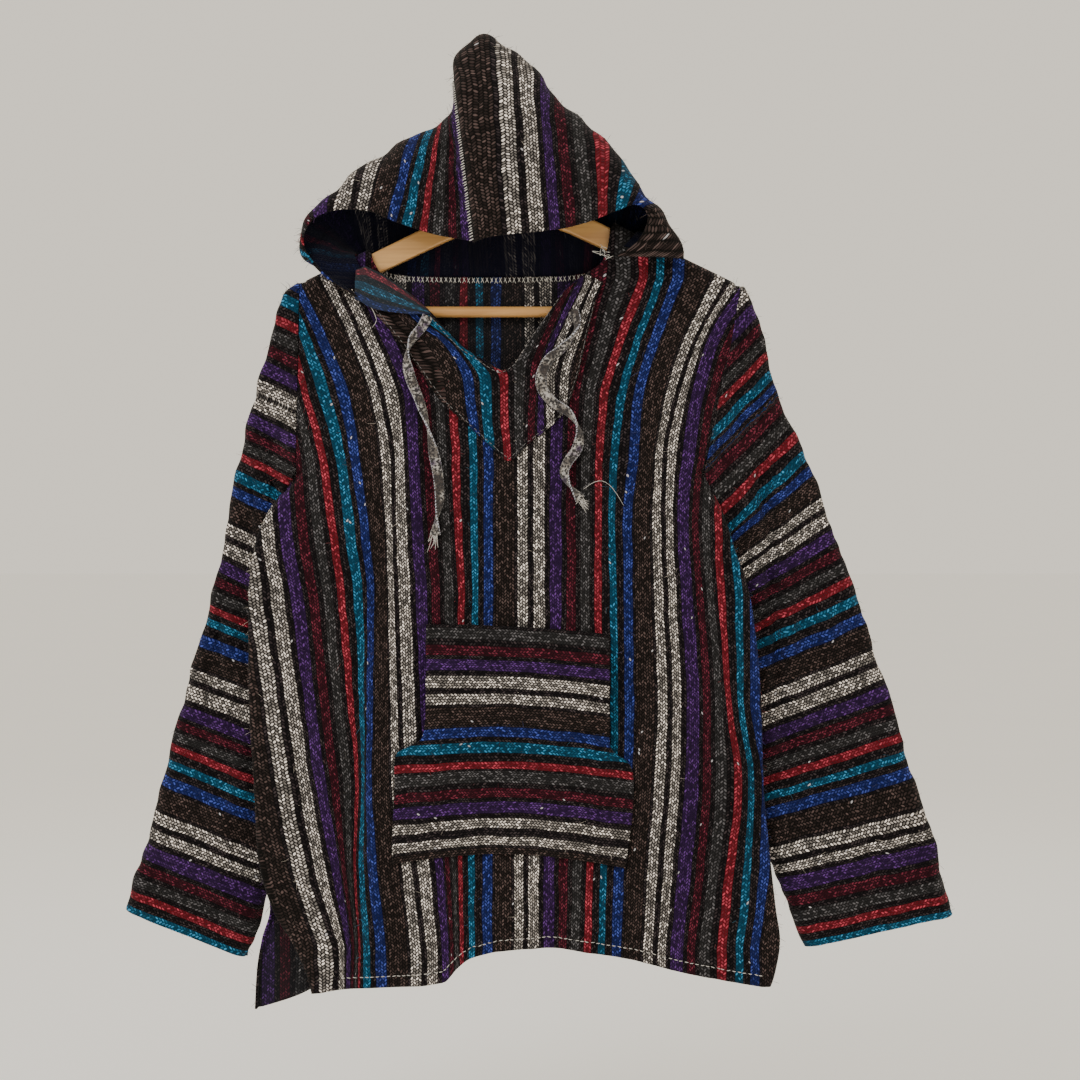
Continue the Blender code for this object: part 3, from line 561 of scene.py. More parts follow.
def normals_of(grid: Grid, closed: bool) -> Grid:
    """Unit normals of a grid's points.

    Args:
        grid: Rows of points.
        closed: True where each row is a ring.

    Returns:
        A grid of unit vectors.
    """
    down = np.gradient(grid, axis=0)
    if closed:
        across = (np.roll(grid, -1, axis=1) - np.roll(grid, 1, axis=1)) / 2
    else:
        across = np.gradient(grid, axis=1)
    normal = np.cross(down, across)
    return normal / (np.linalg.norm(normal, axis=2, keepdims=True) + 1e-9)


def lengths_along(grid: Grid, axis: int) -> Grid:
    """How far each point of a grid lies along its row or column, in its own units."""
    step = np.linalg.norm(np.diff(grid, axis=axis), axis=2)
    start = np.zeros_like(np.take(step, [0], axis=axis))
    return np.concatenate([start, np.cumsum(step, axis=axis)], axis=axis)


# ---- shaders ----

class Socket:
    """A number in a material, on which Python's operators add Math nodes."""

    def __init__(self, tree: bpy.types.NodeTree, link: bpy.types.NodeSocket) -> None:
        """Wrap one output of a node."""
        self.tree = tree
        self.link = link

    def math(self, operation: str, *others: "Socket | float") -> "Socket":
        """One Math node on this value.

        Args:
            operation: The node's operation.
            others: The values that follow this one.

        Returns:
            The node's output.
        """
        node = self.tree.nodes.new("ShaderNodeMath")
        node.operation = operation
        for socket, value in zip(node.inputs, (self,) + others):
            plug(self.tree, socket, value)
        return Socket(self.tree, node.outputs[0])

    def __add__(self, other: "Socket | float") -> "Socket":
        """Sum."""
        return self.math("ADD", other)

    def __sub__(self, other: "Socket | float") -> "Socket":
        """Difference."""
        return self.math("SUBTRACT", other)

    def __mul__(self, other: "Socket | float") -> "Socket":
        """Product."""
        return self.math("MULTIPLY", other)

    def __truediv__(self, other: "Socket | float") -> "Socket":
        """Quotient."""
        return self.math("DIVIDE", other)

    def above(self, level: float) -> "Socket":
        """1 where the value is above a level, else 0."""
        return self.math("GREATER_THAN", level)


def plug(tree: bpy.types.NodeTree, socket: bpy.types.NodeSocket, value: Socket | float | tuple) -> None:
    """Link another node's output to an input, or set the input to a plain value."""
    if isinstance(value, Socket):
        tree.links.new(value.link, socket)
    else:
        socket.default_value = value


class Finish:
    """A material that is built up node by node."""

    def __init__(self, name: str) -> None:
        """Start an empty material of that name."""
        self.material = bpy.data.materials.new(name)
        self.material.use_nodes = True
        self.tree = self.material.node_tree
        self.shader = self.tree.nodes["Principled BSDF"]

    def node(self, kind: str, settings: dict | None = None, inputs: dict | None = None,
             output: int | str = 0) -> Socket:
        """Any node.

        Args:
            kind: Its Blender type.
            settings: Its own settings; "stops" holds a ramp's places and colours.
            inputs: Values or links of its sockets, by name or number.
            output: Which output is wanted.

        Returns:
            That output.
        """
        made = self.tree.nodes.new(kind)
        for key, value in (settings or {}).items():
            if key == "stops":
                ramp = made.color_ramp
                while len(ramp.elements) < len(value):
                    ramp.elements.new(1.0)
                for stop, (place, colour) in zip(ramp.elements, value):
                    stop.position = place
                    stop.color = (*colour, 1.0)
            elif key == "interpolation":
                made.color_ramp.interpolation = value
            else:
                setattr(made, key, value)
        for key, value in (inputs or {}).items():
            plug(self.tree, made.inputs[key], value)
        return Socket(self.tree, made.outputs[output])

    def object_place(self) -> Socket:
        """A point's place on the part."""
        return self.node("ShaderNodeTexCoord", output="Object")

    def weave_place(self) -> Socket:
        """A point's place in the flat cloth, from the piece's own UV map."""
        return self.node("ShaderNodeUVMap", {"uv_map": "weave"})

    def coordinate(self, vector: Socket, axis: int) -> Socket:
        """One coordinate of a vector."""
        return self.node("ShaderNodeSeparateXYZ", inputs={0: vector}, output=axis)

    def noise(self, at: Socket, scale: float, detail: float, distortion: float = 0.0) -> Socket:
        """Soft noise, finer where its scale is larger."""
        return self.node("ShaderNodeTexNoise", inputs={"Vector": at, "Scale": scale, "Detail": detail,
                                                       "Distortion": distortion})

    def chance(self, at: Socket, dimensions: str) -> Socket:
        """An even random number from 0 to 1 for each place."""
        return self.node("ShaderNodeTexWhiteNoise", {"noise_dimensions": dimensions}, {"Vector": at})

    def between(self, value: Socket, low: float, high: float) -> Socket:
        """0 at the low value, 1 at the high one, and a soft S from one to the other."""
        return self.node("ShaderNodeMapRange", {"interpolation_type": "SMOOTHSTEP"},
                         {"Value": value, 1: low, 2: high, 3: 0.0, 4: 1.0})

    def stripes(self, at: Socket, colours: dict[str, Colour]) -> Socket:
        """The colour of the stripe at a place within one repeat."""
        stops = []
        for name, start, end in STRIPES:
            stops.append((start / REPEAT_UNITS, colours[name]))
            stops.append((end / REPEAT_UNITS, colours["dark"]))
        return self.node("ShaderNodeValToRGB", {"interpolation": "CONSTANT", "stops": stops}, {0: at})

    def scaled(self, colour: Socket, by: Socket) -> Socket:
        """A colour made brighter or darker."""
        return self.node("ShaderNodeVectorMath", {"operation": "SCALE"}, {0: colour, "Scale": by})

    def mix(self, share: Socket | float, low: Socket | tuple, high: Socket | tuple) -> Socket:
        """A blend of two colours, by share from the first to the second."""
        return self.node("ShaderNodeMix", {"data_type": "RGBA"}, {0: share, 6: low, 7: high}, 2)

    def bump(self, height: Socket, strength: float, distance: float) -> Socket:
        """The normal of a surface with fine relief, whose depth is given in metres."""
        return self.node("ShaderNodeBump", inputs={"Strength": strength, "Distance": distance,
                                                   "Height": height})

    def feed(self, **links: Socket | float | tuple) -> None:
        """Set the shader's inputs; an underscore in a name stands for a space."""
        for key, value in links.items():
            plug(self.tree, self.shader.inputs[key.replace("_", " ")], value)


@dataclass(frozen=True)
class Handwoven:
    """The striped cloth: short thread floats in staggered columns over a dark ground."""

    name: str
    thread: float = 2.55     # width of a column of threads, mm
    float_long: float = 3.3  # length of a float with its gap, mm
    stray_across: float = 3.4    # how far the columns and the floats wander, mm
    stray_along: float = 5.0
    muted: float = 0.0       # how far the colours go towards the veil, for a duller reverse side and for painted shade on inner faces
    lift: float = 0.9        # brightness; kept low where it paints shade on inner faces
    contrast: float = 1.1    # how much deeper the dark threads are
    dye: Colour = (1.25, 1.28, 1.42)         # what its colours are multiplied by
    veil: Colour = (0.085, 0.090, 0.105)     # what a muted side's colours go towards; dark where it is painted shade
    fleck: Colour = (0.42, 0.40, 0.38)       # a rare pale slub
    fleck_level: float = 0.9985              # a float whose random number is above this is a slub
    relief: float = 0.0009                   # depth of the weave, m

    def build(self) -> bpy.types.Material:
        """The material, read from the piece's own UV map."""
        cloth = Finish(self.name)
        place, here = cloth.weave_place(), cloth.object_place()
        u = cloth.coordinate(place, 0) * 1000.0 + (cloth.noise(here, 34.0, 2.0) - 0.5) * self.stray_across
        v = cloth.coordinate(place, 1) * 1000.0 + (cloth.noise(here, 61.0, 2.0) - 0.5) * self.stray_along
        across = u / self.thread
        thread = across.math("FLOOR")
        odd = thread.math("FLOORED_MODULO", 2.0)
        along = v / self.float_long + odd * 0.5
        pick = along.math("FLOOR")
        dash = self.dash(cloth, (across - thread - 0.5) * 2.0, (along - pick - 0.5) * 2.0, odd)
        at = ((thread + 0.5) * (self.thread / (REPEAT_UNITS * UNIT))).math("FRACT")
        key = cloth.node("ShaderNodeCombineXYZ", inputs={0: thread, 1: pick, 2: 0.0})
        chance = cloth.chance(key, "2D")
        lit = cloth.scaled(cloth.stripes(at, DASHES), chance * chance * 1.6 + 0.24)
        woven = cloth.mix(dash, cloth.stripes(at, GROUNDS), lit)
        other_key = cloth.node("ShaderNodeCombineXYZ", inputs={0: thread, 1: pick, 2: 7.0})
        slub = cloth.chance(other_key, "3D").above(self.fleck_level) * dash
        woven = cloth.mix(slub, woven, (*self.fleck, 1.0))
        fuzz = cloth.noise(here, 900.0, 2.0)
        cloth.feed(Base_Color=self.dyed(cloth, woven, here), Roughness=0.95, Specular_IOR_Level=0.04,
                   Sheen_Weight=0.04, Sheen_Roughness=0.55,
                   Normal=cloth.bump(dash * 0.75 + fuzz * 0.45, 0.85, self.relief))
        return cloth.material

    @staticmethod
    def dash(cloth: Finish, dx: Socket, dy: Socket, odd: Socket) -> Socket:
        """1 on a float of thread and 0 in the gap round it.

        Args:
            cloth: The material.
            dx: Place across the float, -1 to 1.
            dy: Place along it, -1 to 1.
            odd: 1 in every other column, where the floats lean the other way.

        Returns:
            The float's share.
        """
        lean = dx + dy * (odd - 0.5) * 1.1
        reach = (lean * lean * 1.1 + dy * dy * 0.70).math("SQRT")
        return cloth.between(reach, 0.92, 0.5)

    def dyed(self, cloth: Finish, woven: Socket, here: Socket) -> Socket:
        """The weave's colours, worn in soft patches, deepened, dyed and muted towards the veil: a duller
        reverse side, and painted shade on inner faces.
        """
        worn = (cloth.noise(here, 9.0, 3.0) * 0.5 + 0.75) * self.lift
        deep = cloth.node("ShaderNodeGamma",
                          inputs={"Color": cloth.scaled(woven, worn), "Gamma": self.contrast})
        dyed = cloth.node("ShaderNodeVectorMath", {"operation": "MULTIPLY"}, {0: deep, 1: self.dye})
        return cloth.mix(self.muted, dyed, (*self.veil, 1.0))


@dataclass(frozen=True)
class Lacquered:
    """Honey-coloured wood under clear lacquer, its grain along X."""

    name: str
    pale: Colour = (0.640, 0.360, 0.120)
    deep: Colour = (0.420, 0.200, 0.055)
    grain: tuple[float, float, float] = (6.0, 90.0, 130.0)   # how fine the grain is along each axis

    def build(self) -> bpy.types.Material:
        """The material."""
        wood = Finish(self.name)
        place = wood.node("ShaderNodeMapping", inputs={"Vector": wood.object_place(), "Scale": self.grain})
        grain = wood.noise(place, 1.0, 5.0, 0.6)
        band = wood.node("ShaderNodeMapRange", inputs={"Value": grain, 1: 0.35, 2: 0.7, 3: 0.0, 4: 1.0})
        colour = wood.mix(band, (*self.pale, 1.0), (*self.deep, 1.0))
        wood.feed(Base_Color=colour, Normal=wood.bump(grain, 0.2, 0.0003), Roughness=band * 0.15 + 0.32,
                  Coat_Weight=0.35)
        return wood.material


@dataclass(frozen=True)
class Steel:
    """Bright wire, faintly scratched."""

    name: str
    worn: Colour = (0.50, 0.50, 0.48)
    bright: Colour = (0.68, 0.68, 0.66)

    def build(self) -> bpy.types.Material:
        """The material."""
        steel = Finish(self.name)
        scratch = steel.noise(steel.object_place(), 420.0, 3.0)
        stops = [(0.3, self.worn), (0.8, self.bright)]
        tone = steel.node("ShaderNodeValToRGB", {"stops": stops}, {0: scratch})
        steel.feed(Base_Color=tone, Metallic=1.0, Roughness=scratch * 0.2 + 0.2)
        return steel.material


@dataclass(frozen=True)
class Thread:
    """Soft spun thread of one colour."""

    name: str
    colour: Colour = (0.62, 0.60, 0.56)
    shade: float = 0.7       # how bright the painted shade in the ply's hollows is

    def build(self) -> bpy.types.Material:
        """The material."""
        thread = Finish(self.name)
        ply = thread.noise(thread.object_place(), 1500.0, 2.0)
        # Darker in the ply's hollows: painted shade.
        tone = thread.mix(ply, tuple(c * self.shade for c in self.colour) + (1.0,), (*self.colour, 1.0))
        thread.feed(Base_Color=tone, Normal=thread.bump(ply, 0.5, 0.0002), Roughness=0.85)
        return thread.material


@dataclass(frozen=True)
class Fibre:
    """Loose fibre in the colour of the stripe it stands on."""

    name: str
    lint: Colour = (0.16, 0.14, 0.13)
    linty: float = 0.35      # most that a fibre's colour goes towards lint

    def build(self) -> bpy.types.Material:
        """The material, read from the fibres' UV map."""
        fibre = Finish(self.name)
        place = fibre.weave_place()
        at = (fibre.coordinate(place, 0) / (REPEAT_UNITS * UNIT * MM)).math("FRACT")
        share = fibre.chance(place, "3D") * self.linty
        colour = fibre.mix(share, fibre.stripes(at, DASHES), (*self.lint, 1.0))
        fibre.feed(Base_Color=colour, Roughness=0.9, Specular_IOR_Level=0.1)
        return fibre.material


@dataclass(frozen=True)
class Whipped:
    """The ties' strip: dark striped cloth with pale thread whipped over its edges."""

    name: str
    pitch: float = 2.7       # distance between two whip stitches, mm
    stray: float = 3.4       # how unevenly they lie
    dark: Colour = (0.012, 0.009, 0.009)
    fibre_gap_shade: Colour = (0.20, 0.22, 0.30)      # painted shade between the pale thread's fibres, and the thread on them
    pale: Colour = (0.66, 0.66, 0.70)

    def build(self) -> bpy.types.Material:
        """The material, read from the strip's own UV map: U round it, V along it."""
        strip = Finish(self.name)
        place, here = strip.weave_place(), strip.object_place()
        u, v = strip.coordinate(place, 0), strip.coordinate(place, 1) * 1000.0
        drift = strip.noise(here, 160.0, 2.0)
        slant = (v / self.pitch + u * 2.0 + (drift - 0.5) * self.stray).math("FRACT")
        stitch = strip.between((slant - 0.5).math("ABSOLUTE"), 0.36, 0.2)
        edge = strip.between(((u * 2.0).math("FRACT") - 0.5).math("ABSOLUTE"), 0.27, 0.39)
        tones = [(0.36, (0.035, 0.026, 0.022)), (0.47, (0.160, 0.142, 0.125)),
                 (0.57, (0.420, 0.400, 0.370)), (0.70, (0.050, 0.024, 0.070))]
        tone = strip.node("ShaderNodeValToRGB", {"stops": tones}, {0: strip.noise(here, 75.0, 1.0)})
        speck = strip.between(strip.noise(here, 430.0, 2.0), 0.44, 0.58)
        middle = strip.mix(speck, (*self.dark, 1.0), tone)
        fibre = strip.noise(here, 700.0, 3.0)
        share = stitch * (edge * 0.95 + 0.02)
        # The whip thread goes from painted shade between its fibres to pale on them.
        colour = strip.mix(share, middle, strip.mix(fibre, (*self.fibre_gap_shade, 1.0), (*self.pale, 1.0)))
        strip.feed(Base_Color=colour, Roughness=0.92, Sheen_Weight=0.2, Sheen_Roughness=0.5,
                   Normal=strip.bump(share * 0.7 + fibre * 0.6, 0.9, 0.0008))
        return strip.material


# ---- cloth ----

def only(thing: bpy.types.Object) -> None:
    """Select one object and make it active."""
    for other in list(bpy.context.selected_objects):
        other.select_set(False)
    thing.select_set(True)
    bpy.context.view_layer.objects.active = thing


def apply_modifiers(thing: bpy.types.Object) -> None:
    """Apply every modifier of an object, in order."""
    only(thing)
    for modifier in list(thing.modifiers):
        bpy.ops.object.modifier_apply(modifier=modifier.name)


def add_piece(name: str, points: Grid, faces: Sequence[Sequence[int]], places: Grid | None,
              *finishes: bpy.types.Material) -> bpy.types.Object:
    """A new smooth mesh.

    Args:
        name: The piece's name.
        points: Its points, in mm.
        faces: The points of each face.
        places: U and V at each face's corners, where a finish reads them.
        finishes: Its materials.

    Returns:
        The object.
    """
    mesh = bpy.data.meshes.new(name)
    mesh.from_pydata((points.reshape(-1, 3) * MM).tolist(), [], faces)
    if places is not None:
        layer = mesh.uv_layers.new(name="weave")
        layer.data.foreach_set("uv", np.asarray(places).astype(np.float32).ravel())
    for finish in finishes:
        mesh.materials.append(finish)
    mesh.shade_smooth()
    piece = bpy.data.objects.new(name, mesh)
    bpy.context.scene.collection.objects.link(piece)
    return piece


def settle(piece: bpy.types.Object, slot: str, *nodes: str) -> bpy.types.Object:
    """A finished piece rides on the body and stands for its solids, which it hides."""
    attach(piece, "root")
    if nodes:
        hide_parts(*nodes)
    return piece


@dataclass
class ClothPiece:
    """A cut piece of cloth: a grid of points in mm, with the cloth's own place at each of them."""

    name: str
    grid: Grid
    weave: Grid              # U and V in metres, with one more column than the grid on a tube
    closed: bool = False
    flip: bool = False
    wall: float = WALL

    def build(self, finish: bpy.types.Material, inner: bpy.types.Material | None = None) -> bpy.types.Object:
        """The cloth as a finished mesh.

        Args:
            finish: Its material.
            inner: The darker material of its inner faces, where one is given, which paints shade on them.

        Returns:
            The object, with its wall applied.
        """
        rows, columns = self.grid.shape[:2]
        across = columns if self.closed else columns - 1
        i, j = np.meshgrid(np.arange(rows - 1), np.arange(across), indexing="ij")
        after = (j + 1) % columns
        corners = np.stack([i * columns + j, (i + 1) * columns + j, (i + 1) * columns + after,
                            i * columns + after], axis=-1).reshape(-1, 4)
        wide = self.weave.shape[1]
        places = np.stack([i * wide + j, (i + 1) * wide + j, (i + 1) * wide + j + 1,
                           i * wide + j + 1], axis=-1).reshape(-1, 4)
        if self.flip:
            corners, places = corners[:, ::-1], places[:, ::-1]
        finishes = [finish] if inner is None else [finish, inner]
        cloth = add_piece(self.name, self.grid, corners.tolist(),
                          self.weave.reshape(-1, 2)[places.reshape(-1)], *finishes)
        wall = cloth.modifiers.new("wall", "SOLIDIFY")
        wall.thickness = self.wall * MM
        wall.offset = 0.0
        # Inner faces take the inner material where one is given: painted shade.
        wall.material_offset = len(finishes) - 1
        apply_modifiers(cloth)
        LOG.info("%s: %d faces", self.name, len(cloth.data.polygons))
        return cloth

    def area(self) -> float:
        """The cloth's own area, in square metres."""
        grid = np.concatenate([self.grid, self.grid[:, :1]], axis=1) if self.closed else self.grid
        one = np.cross(grid[1:, :-1] - grid[:-1, :-1], grid[:-1, 1:] - grid[:-1, :-1])
        two = np.cross(grid[1:, :-1] - grid[1:, 1:], grid[:-1, 1:] - grid[1:, 1:])
        return float((np.linalg.norm(one, axis=2).sum() + np.linalg.norm(two, axis=2).sum()) / 2e6)


@dataclass(frozen=True)
class Panel:
    """What differs between the body's front and its back."""

    side: Side
    way: int                     # -1 where it lies in front of the hanger, 1 behind it
    turn: float                  # radius where its edges turn in
    edges: tuple[str, str]       # the body table's columns of its left and right edge
    neck: Sequence[Point]
    hem: Sequence[Point]
    columns: Sequence[float]

    def edge(self, hand: int, z: Grid) -> Grid:
        """x of the left edge (hand -1) or of the right one (hand 1)."""
        return column(BODY, self.edges[0 if hand < 0 else 1], z)

    def core_x(self, share: Grid, z: Grid) -> Grid:
        """x at a share of the way across, between the strips beside the two edges."""
        left = self.edge(-1, z) + self.turn + STRIP
        right = self.edge(1, z) - self.turn - STRIP
        return left + (right - left) * share

    def top_z(self, x: Grid) -> Grid:
        """Height of the upper edge: the shoulders' ridge, and the neckline between the neck's corners."""
        ridge, slit = line_z(SHOULDER, x), line_z(self.neck, x)
        return np.where((x > self.neck[0].x) & (x < self.neck[-1].x), slit, ridge)

    def hem_z(self, x: Grid) -> Grid:
        """Height of the hem."""
        return line_z(self.hem, x)


FRONT_PANEL = Panel(Side.FRONT, -1, SIDE_ROUND, ("left", "right"), NECK_FRONT, HEM_FRONT, FRONT_COLUMNS)
BACK_PANEL = Panel(Side.BACK, 1, TURN_ROUND, ("back_left", "back_right"), NECK_BACK, HEM_BACK, BACK_COLUMNS)


@dataclass
class Body:
    """The hoodie's front and back."""

    step_across: float = 3.0
    step_down: float = 3.7
    edge_points: int = 12
    swell: float = 1.05         # height of the cloth's random swell
    fine_swell: float = 0.35
    hem_guess: float = -900.0
    rounds: int = 12            # tries at the height where each column meets its edges
    back_stripe: float = 12.5 + 2 * REPEAT_UNITS     # the stripe that runs down the back at back_stripe_x
    back_stripe_x: float = 20.0
    back_spread: float = 1.10   # the back's stripes stand this much further apart than the cloth's
    front_cut: tuple[float, float] = (0.56, 0.73)
    back_cut: tuple[float, float] = (0.56, 0.75)

    def depth(self, x: Grid, z: Grid, side: Side) -> Grid:
        """Distance of the front or back from the hanger's plane, in mm."""
        left = column(BODY, "left", z)
        right = column(BODY, "right", z)
        across = np.clip((x - left) / (right - left), 0.0, 1.0)
        crown = 1 - np.abs(2 * across - 1) ** 3
        calm = 1 - np.abs(2 * across - 1) ** 10
        if side is Side.FRONT:
            depth = self.front_depth(x, z, crown, calm)
        else:
            depth = self.back_depth(x, z, crown, calm)
        return depth * quarter((line_z(SHOULDER, x) - z) / SHOULDER_HALF)

    def front_depth(self, x: Grid, z: Grid, crown: Grid, calm: Grid) -> Grid:
        """The front's distance, below the shoulders.

        Args:
            x: Places across.
            z: Places up.
            crown: 1 in the middle and 0 at the edges, for the body's roundness.
            calm: The same with a flat middle, for the creases.

        Returns:
            The distance in mm.
        """
        middle = column(BODY, "front", z)
        edge = SHOULDER_HALF + (0.9 * middle - SHOULDER_HALF) * column(BODY, "tuck", z)
        depth = edge + (middle - edge) * crown + fold_height(FRONT_FOLDS, x, z)
        extra = fold_height(FRONT_CREASES, x, z)
        extra = extra + self.swell * ripple(x, z, 60.0, 190.0, 3)
        extra = extra + self.fine_swell * ripple(x, z, 24.0, 60.0, 4)
        return depth + extra * calm * ease(-190.0, -240.0, z)

    def back_depth(self, x: Grid, z: Grid, crown: Grid, calm: Grid) -> Grid:
        """The back's distance, which comes forward beside the sleeves; its Args are the front's."""
        middle = column(BODY, "back", z)
        wing = TURN_ROUND + STRIP - self.seam_depth(z)
        step_left = column(BODY, "step_left", z)
        step_right = column(BODY, "step_right", z)
        inside = ease(step_left, step_left + STEP_WIDE, x) * ease(-step_right, STEP_WIDE - step_right, -x)
        full = SHOULDER_HALF + (middle - SHOULDER_HALF) * crown
        full = full + fold_height(BACK_FOLDS, x, z) * inside
        extra = fold_height(BACK_CREASES, x, z)
        extra = extra + self.swell * ripple(x, z, 70.0, 220.0, 8)
        full = full + extra * inside * calm * ease(-215.0, -260.0, z)
        return full + (wing + (full - wing) * inside - full) * column(BODY, "tuck", z)

    @staticmethod
    def seam_depth(z: Grid) -> Grid:
        """How far the side seam stands in front of the hanger's plane, below the armholes."""
        return 0.9 * column(BODY, "front", z) - SIDE_ROUND - STRIP

    @staticmethod
    def armhole_depth(z: Grid) -> Grid:
        """Half the width of the armhole, which closes round at the underarm."""
        return SHOULDER_HALF * quarter((z - UNDERARM_Z) / SHOULDER_HALF)

    def edge_columns(self, z: float, panel: Panel, hand: int) -> list[tuple[float, float]]:
        """x and y of the four main columns at one edge, from inside to the seam.

        Args:
            z: The height.
            panel: The front or the back.
            hand: -1 at the left edge, 1 at the right.

        Returns:
            Four places in mm.
        """
        edge = float(panel.edge(hand, z))
        tuck = float(column(BODY, "tuck", z))
        way, radius = panel.way, panel.turn
        seam = -float(self.seam_depth(z))
        inner_x = edge - hand * (radius + STRIP)
        inner_y = way * float(self.depth(inner_x, z, panel.side))
        arm_y = min(float(self.armhole_depth(z)), float(self.depth(edge, z, panel.side)))
        arm_y = way * (max(arm_y, SEAM_HALF) if z > UNDERARM_Z else 0.0)
        apart = way * (UNDERARM_GAP * float(quarter((UNDERARM_Z + 4.0 - z) / 4.0))
                       + 4 * tuck * (1 - tuck) * SEAM_HALF)
        if abs(arm_y) <= UNDERARM_GAP:
            arm_y += apart
        columns = []
        for angle, reach, weight in ((35, 0.8, 0.35), (65, 0.4, 0.8), (90, 0.0, 1.0), (90, -1.0, 1.0)):
            turn = math.radians(angle)
            round_x = edge - hand * radius * (1 - math.sin(turn))
            round_y = seam + way * (STRIP * (reach >= 0) + radius * math.cos(turn))
            arm_x = edge - hand * (STRIP + radius * reach if reach >= 0 else 0.0)
            y_here = inner_y + (arm_y - inner_y) * weight
            x = arm_x + (round_x - arm_x) * tuck
            y = y_here + (round_y - y_here) * tuck
            columns.append((x, y + way * HALF_SEAM * tuck * (reach < 0)))
        return columns

    def edge_strip(self, panel: Panel, hand: int, drop: float, start: tuple) -> list[tuple]:
        """One row's points from the panel's core out to its seam.

        Args:
            panel: The front or the back.
            hand: -1 at the left edge, 1 at the right.
            drop: The row's share of the way from the shoulder to the hem.
            start: The core's outermost point.

        Returns:
            The points, in mm.
        """
        z_top = line_z(SHOULDER, panel.edge(hand, SHOULDER_END_Z))
        z_low = panel.hem_z(panel.edge(hand, HEM_Z))
        z_end = z_top + (z_low - z_top) * drop
        strip = [start]
        for k, weight in enumerate((0.4, 0.7, 1.0, 1.0)):
            z_here = float(start[2] + (z_end - start[2]) * weight)
            x_here, y_here = self.edge_columns(z_here, panel, hand)[k]
            strip.append((x_here, y_here, z_here))
        return [tuple(p) for p in smooth_rows(strip, self.edge_points)[1:]]

    def grid(self, panel: Panel) -> Grid:
        """Points of the front or the back, a row for each height, a column for each line down."""
        lines = dense(panel.columns, self.step_across)
        shares = (lines - lines[0]) / (lines[-1] - lines[0])
        drops = (dense(ROWS, self.step_down) - ROWS[0]) / (ROWS[-1] - ROWS[0])
        top = np.full(len(shares), SHOULDER_END_Z)
        bottom = np.full(len(shares), self.hem_guess)
        for _ in range(self.rounds):
            top = panel.top_z(panel.core_x(shares, top))
            bottom = panel.hem_z(panel.core_x(shares, bottom))
        grid = []
        for drop in drops:
            z = top + (bottom - top) * drop
            x = panel.core_x(shares, z)
            depth = self.depth(x, z, panel.side)
            y = panel.way * np.where(z > UNDERARM_Z, np.maximum(depth, SEAM_HALF), depth)
            core = list(zip(x, y, z))
            left = self.edge_strip(panel, -1, drop, core[0])
            grid.append(left[::-1] + core + self.edge_strip(panel, 1, drop, core[-1]))
        return np.array(grid)

    @staticmethod
    def warp(x: Grid, z: Grid, keys: Sequence[float], rows: Sequence[Sequence[float]]) -> Grid:
        """Where the cloth is, across its stripes, at places seen from the front.

        Args:
            x: The places' x.
            z: Their height.
            keys: The stripes that the table follows, by their place in the cloth.
            rows: The table: a height in the picture, then those stripes' x there.

        Returns:
            The place in the cloth, in metres.
        """
        table = np.array(rows, float)
        lines = np.stack([through(table[:, 0], table[:, k + 1], PHOTO_Y - z)
                          for k in range(len(keys))], axis=-1)
        at = (x + PHOTO_X)[..., None]
        k = np.clip((lines < at).sum(axis=-1, keepdims=True), 1, len(keys) - 1)
        low, high = np.take_along_axis(lines, k - 1, -1), np.take_along_axis(lines, k, -1)
        places = np.array(keys, float)
        share = (at - low) / (high - low)
        out = places[k - 1] + (places[k] - places[k - 1]) * np.clip(share, 0.0, 1.0)
        way = math.copysign(1.0, keys[-1] - keys[0])
        out = out + way * (np.minimum(at - lines[..., :1], 0.0) + np.maximum(at - lines[..., -1:], 0.0))
        return out[..., 0] * UNIT * MM

    def pieces(self) -> tuple[ClothPiece, ClothPiece]:
        """The front and the back."""
        front, back = self.grid(FRONT_PANEL), self.grid(BACK_PANEL)
        across_front = self.warp(front[..., 0], front[..., 2], WARP_KEYS, WARP_ROWS)
        across_back = self.back_stripe + (back[..., 0] - self.back_stripe_x) / self.back_spread
        weave_front = np.stack([across_front, -front[..., 2] * MM], axis=-1)
        weave_back = np.stack([across_back * UNIT * MM, -back[..., 2] * MM], axis=-1)
        return (ClothPiece("front_panel", front, weave_front),
                ClothPiece("back_panel", back, weave_back, flip=True))

    def build(self, cloth: bpy.types.Material, inner_face_shade: bpy.types.Material) -> list[ClothPiece]:
        """Both panels."""
        front, back = self.pieces()
        # The panels' inner faces take the second material: painted shade.
        panel = settle(front.build(cloth, inner_face_shade), "striped_cloth", "front")
        front.area()
        rear = settle(back.build(cloth, inner_face_shade), "striped_cloth", "back")
        back.area()
        return [front, back]


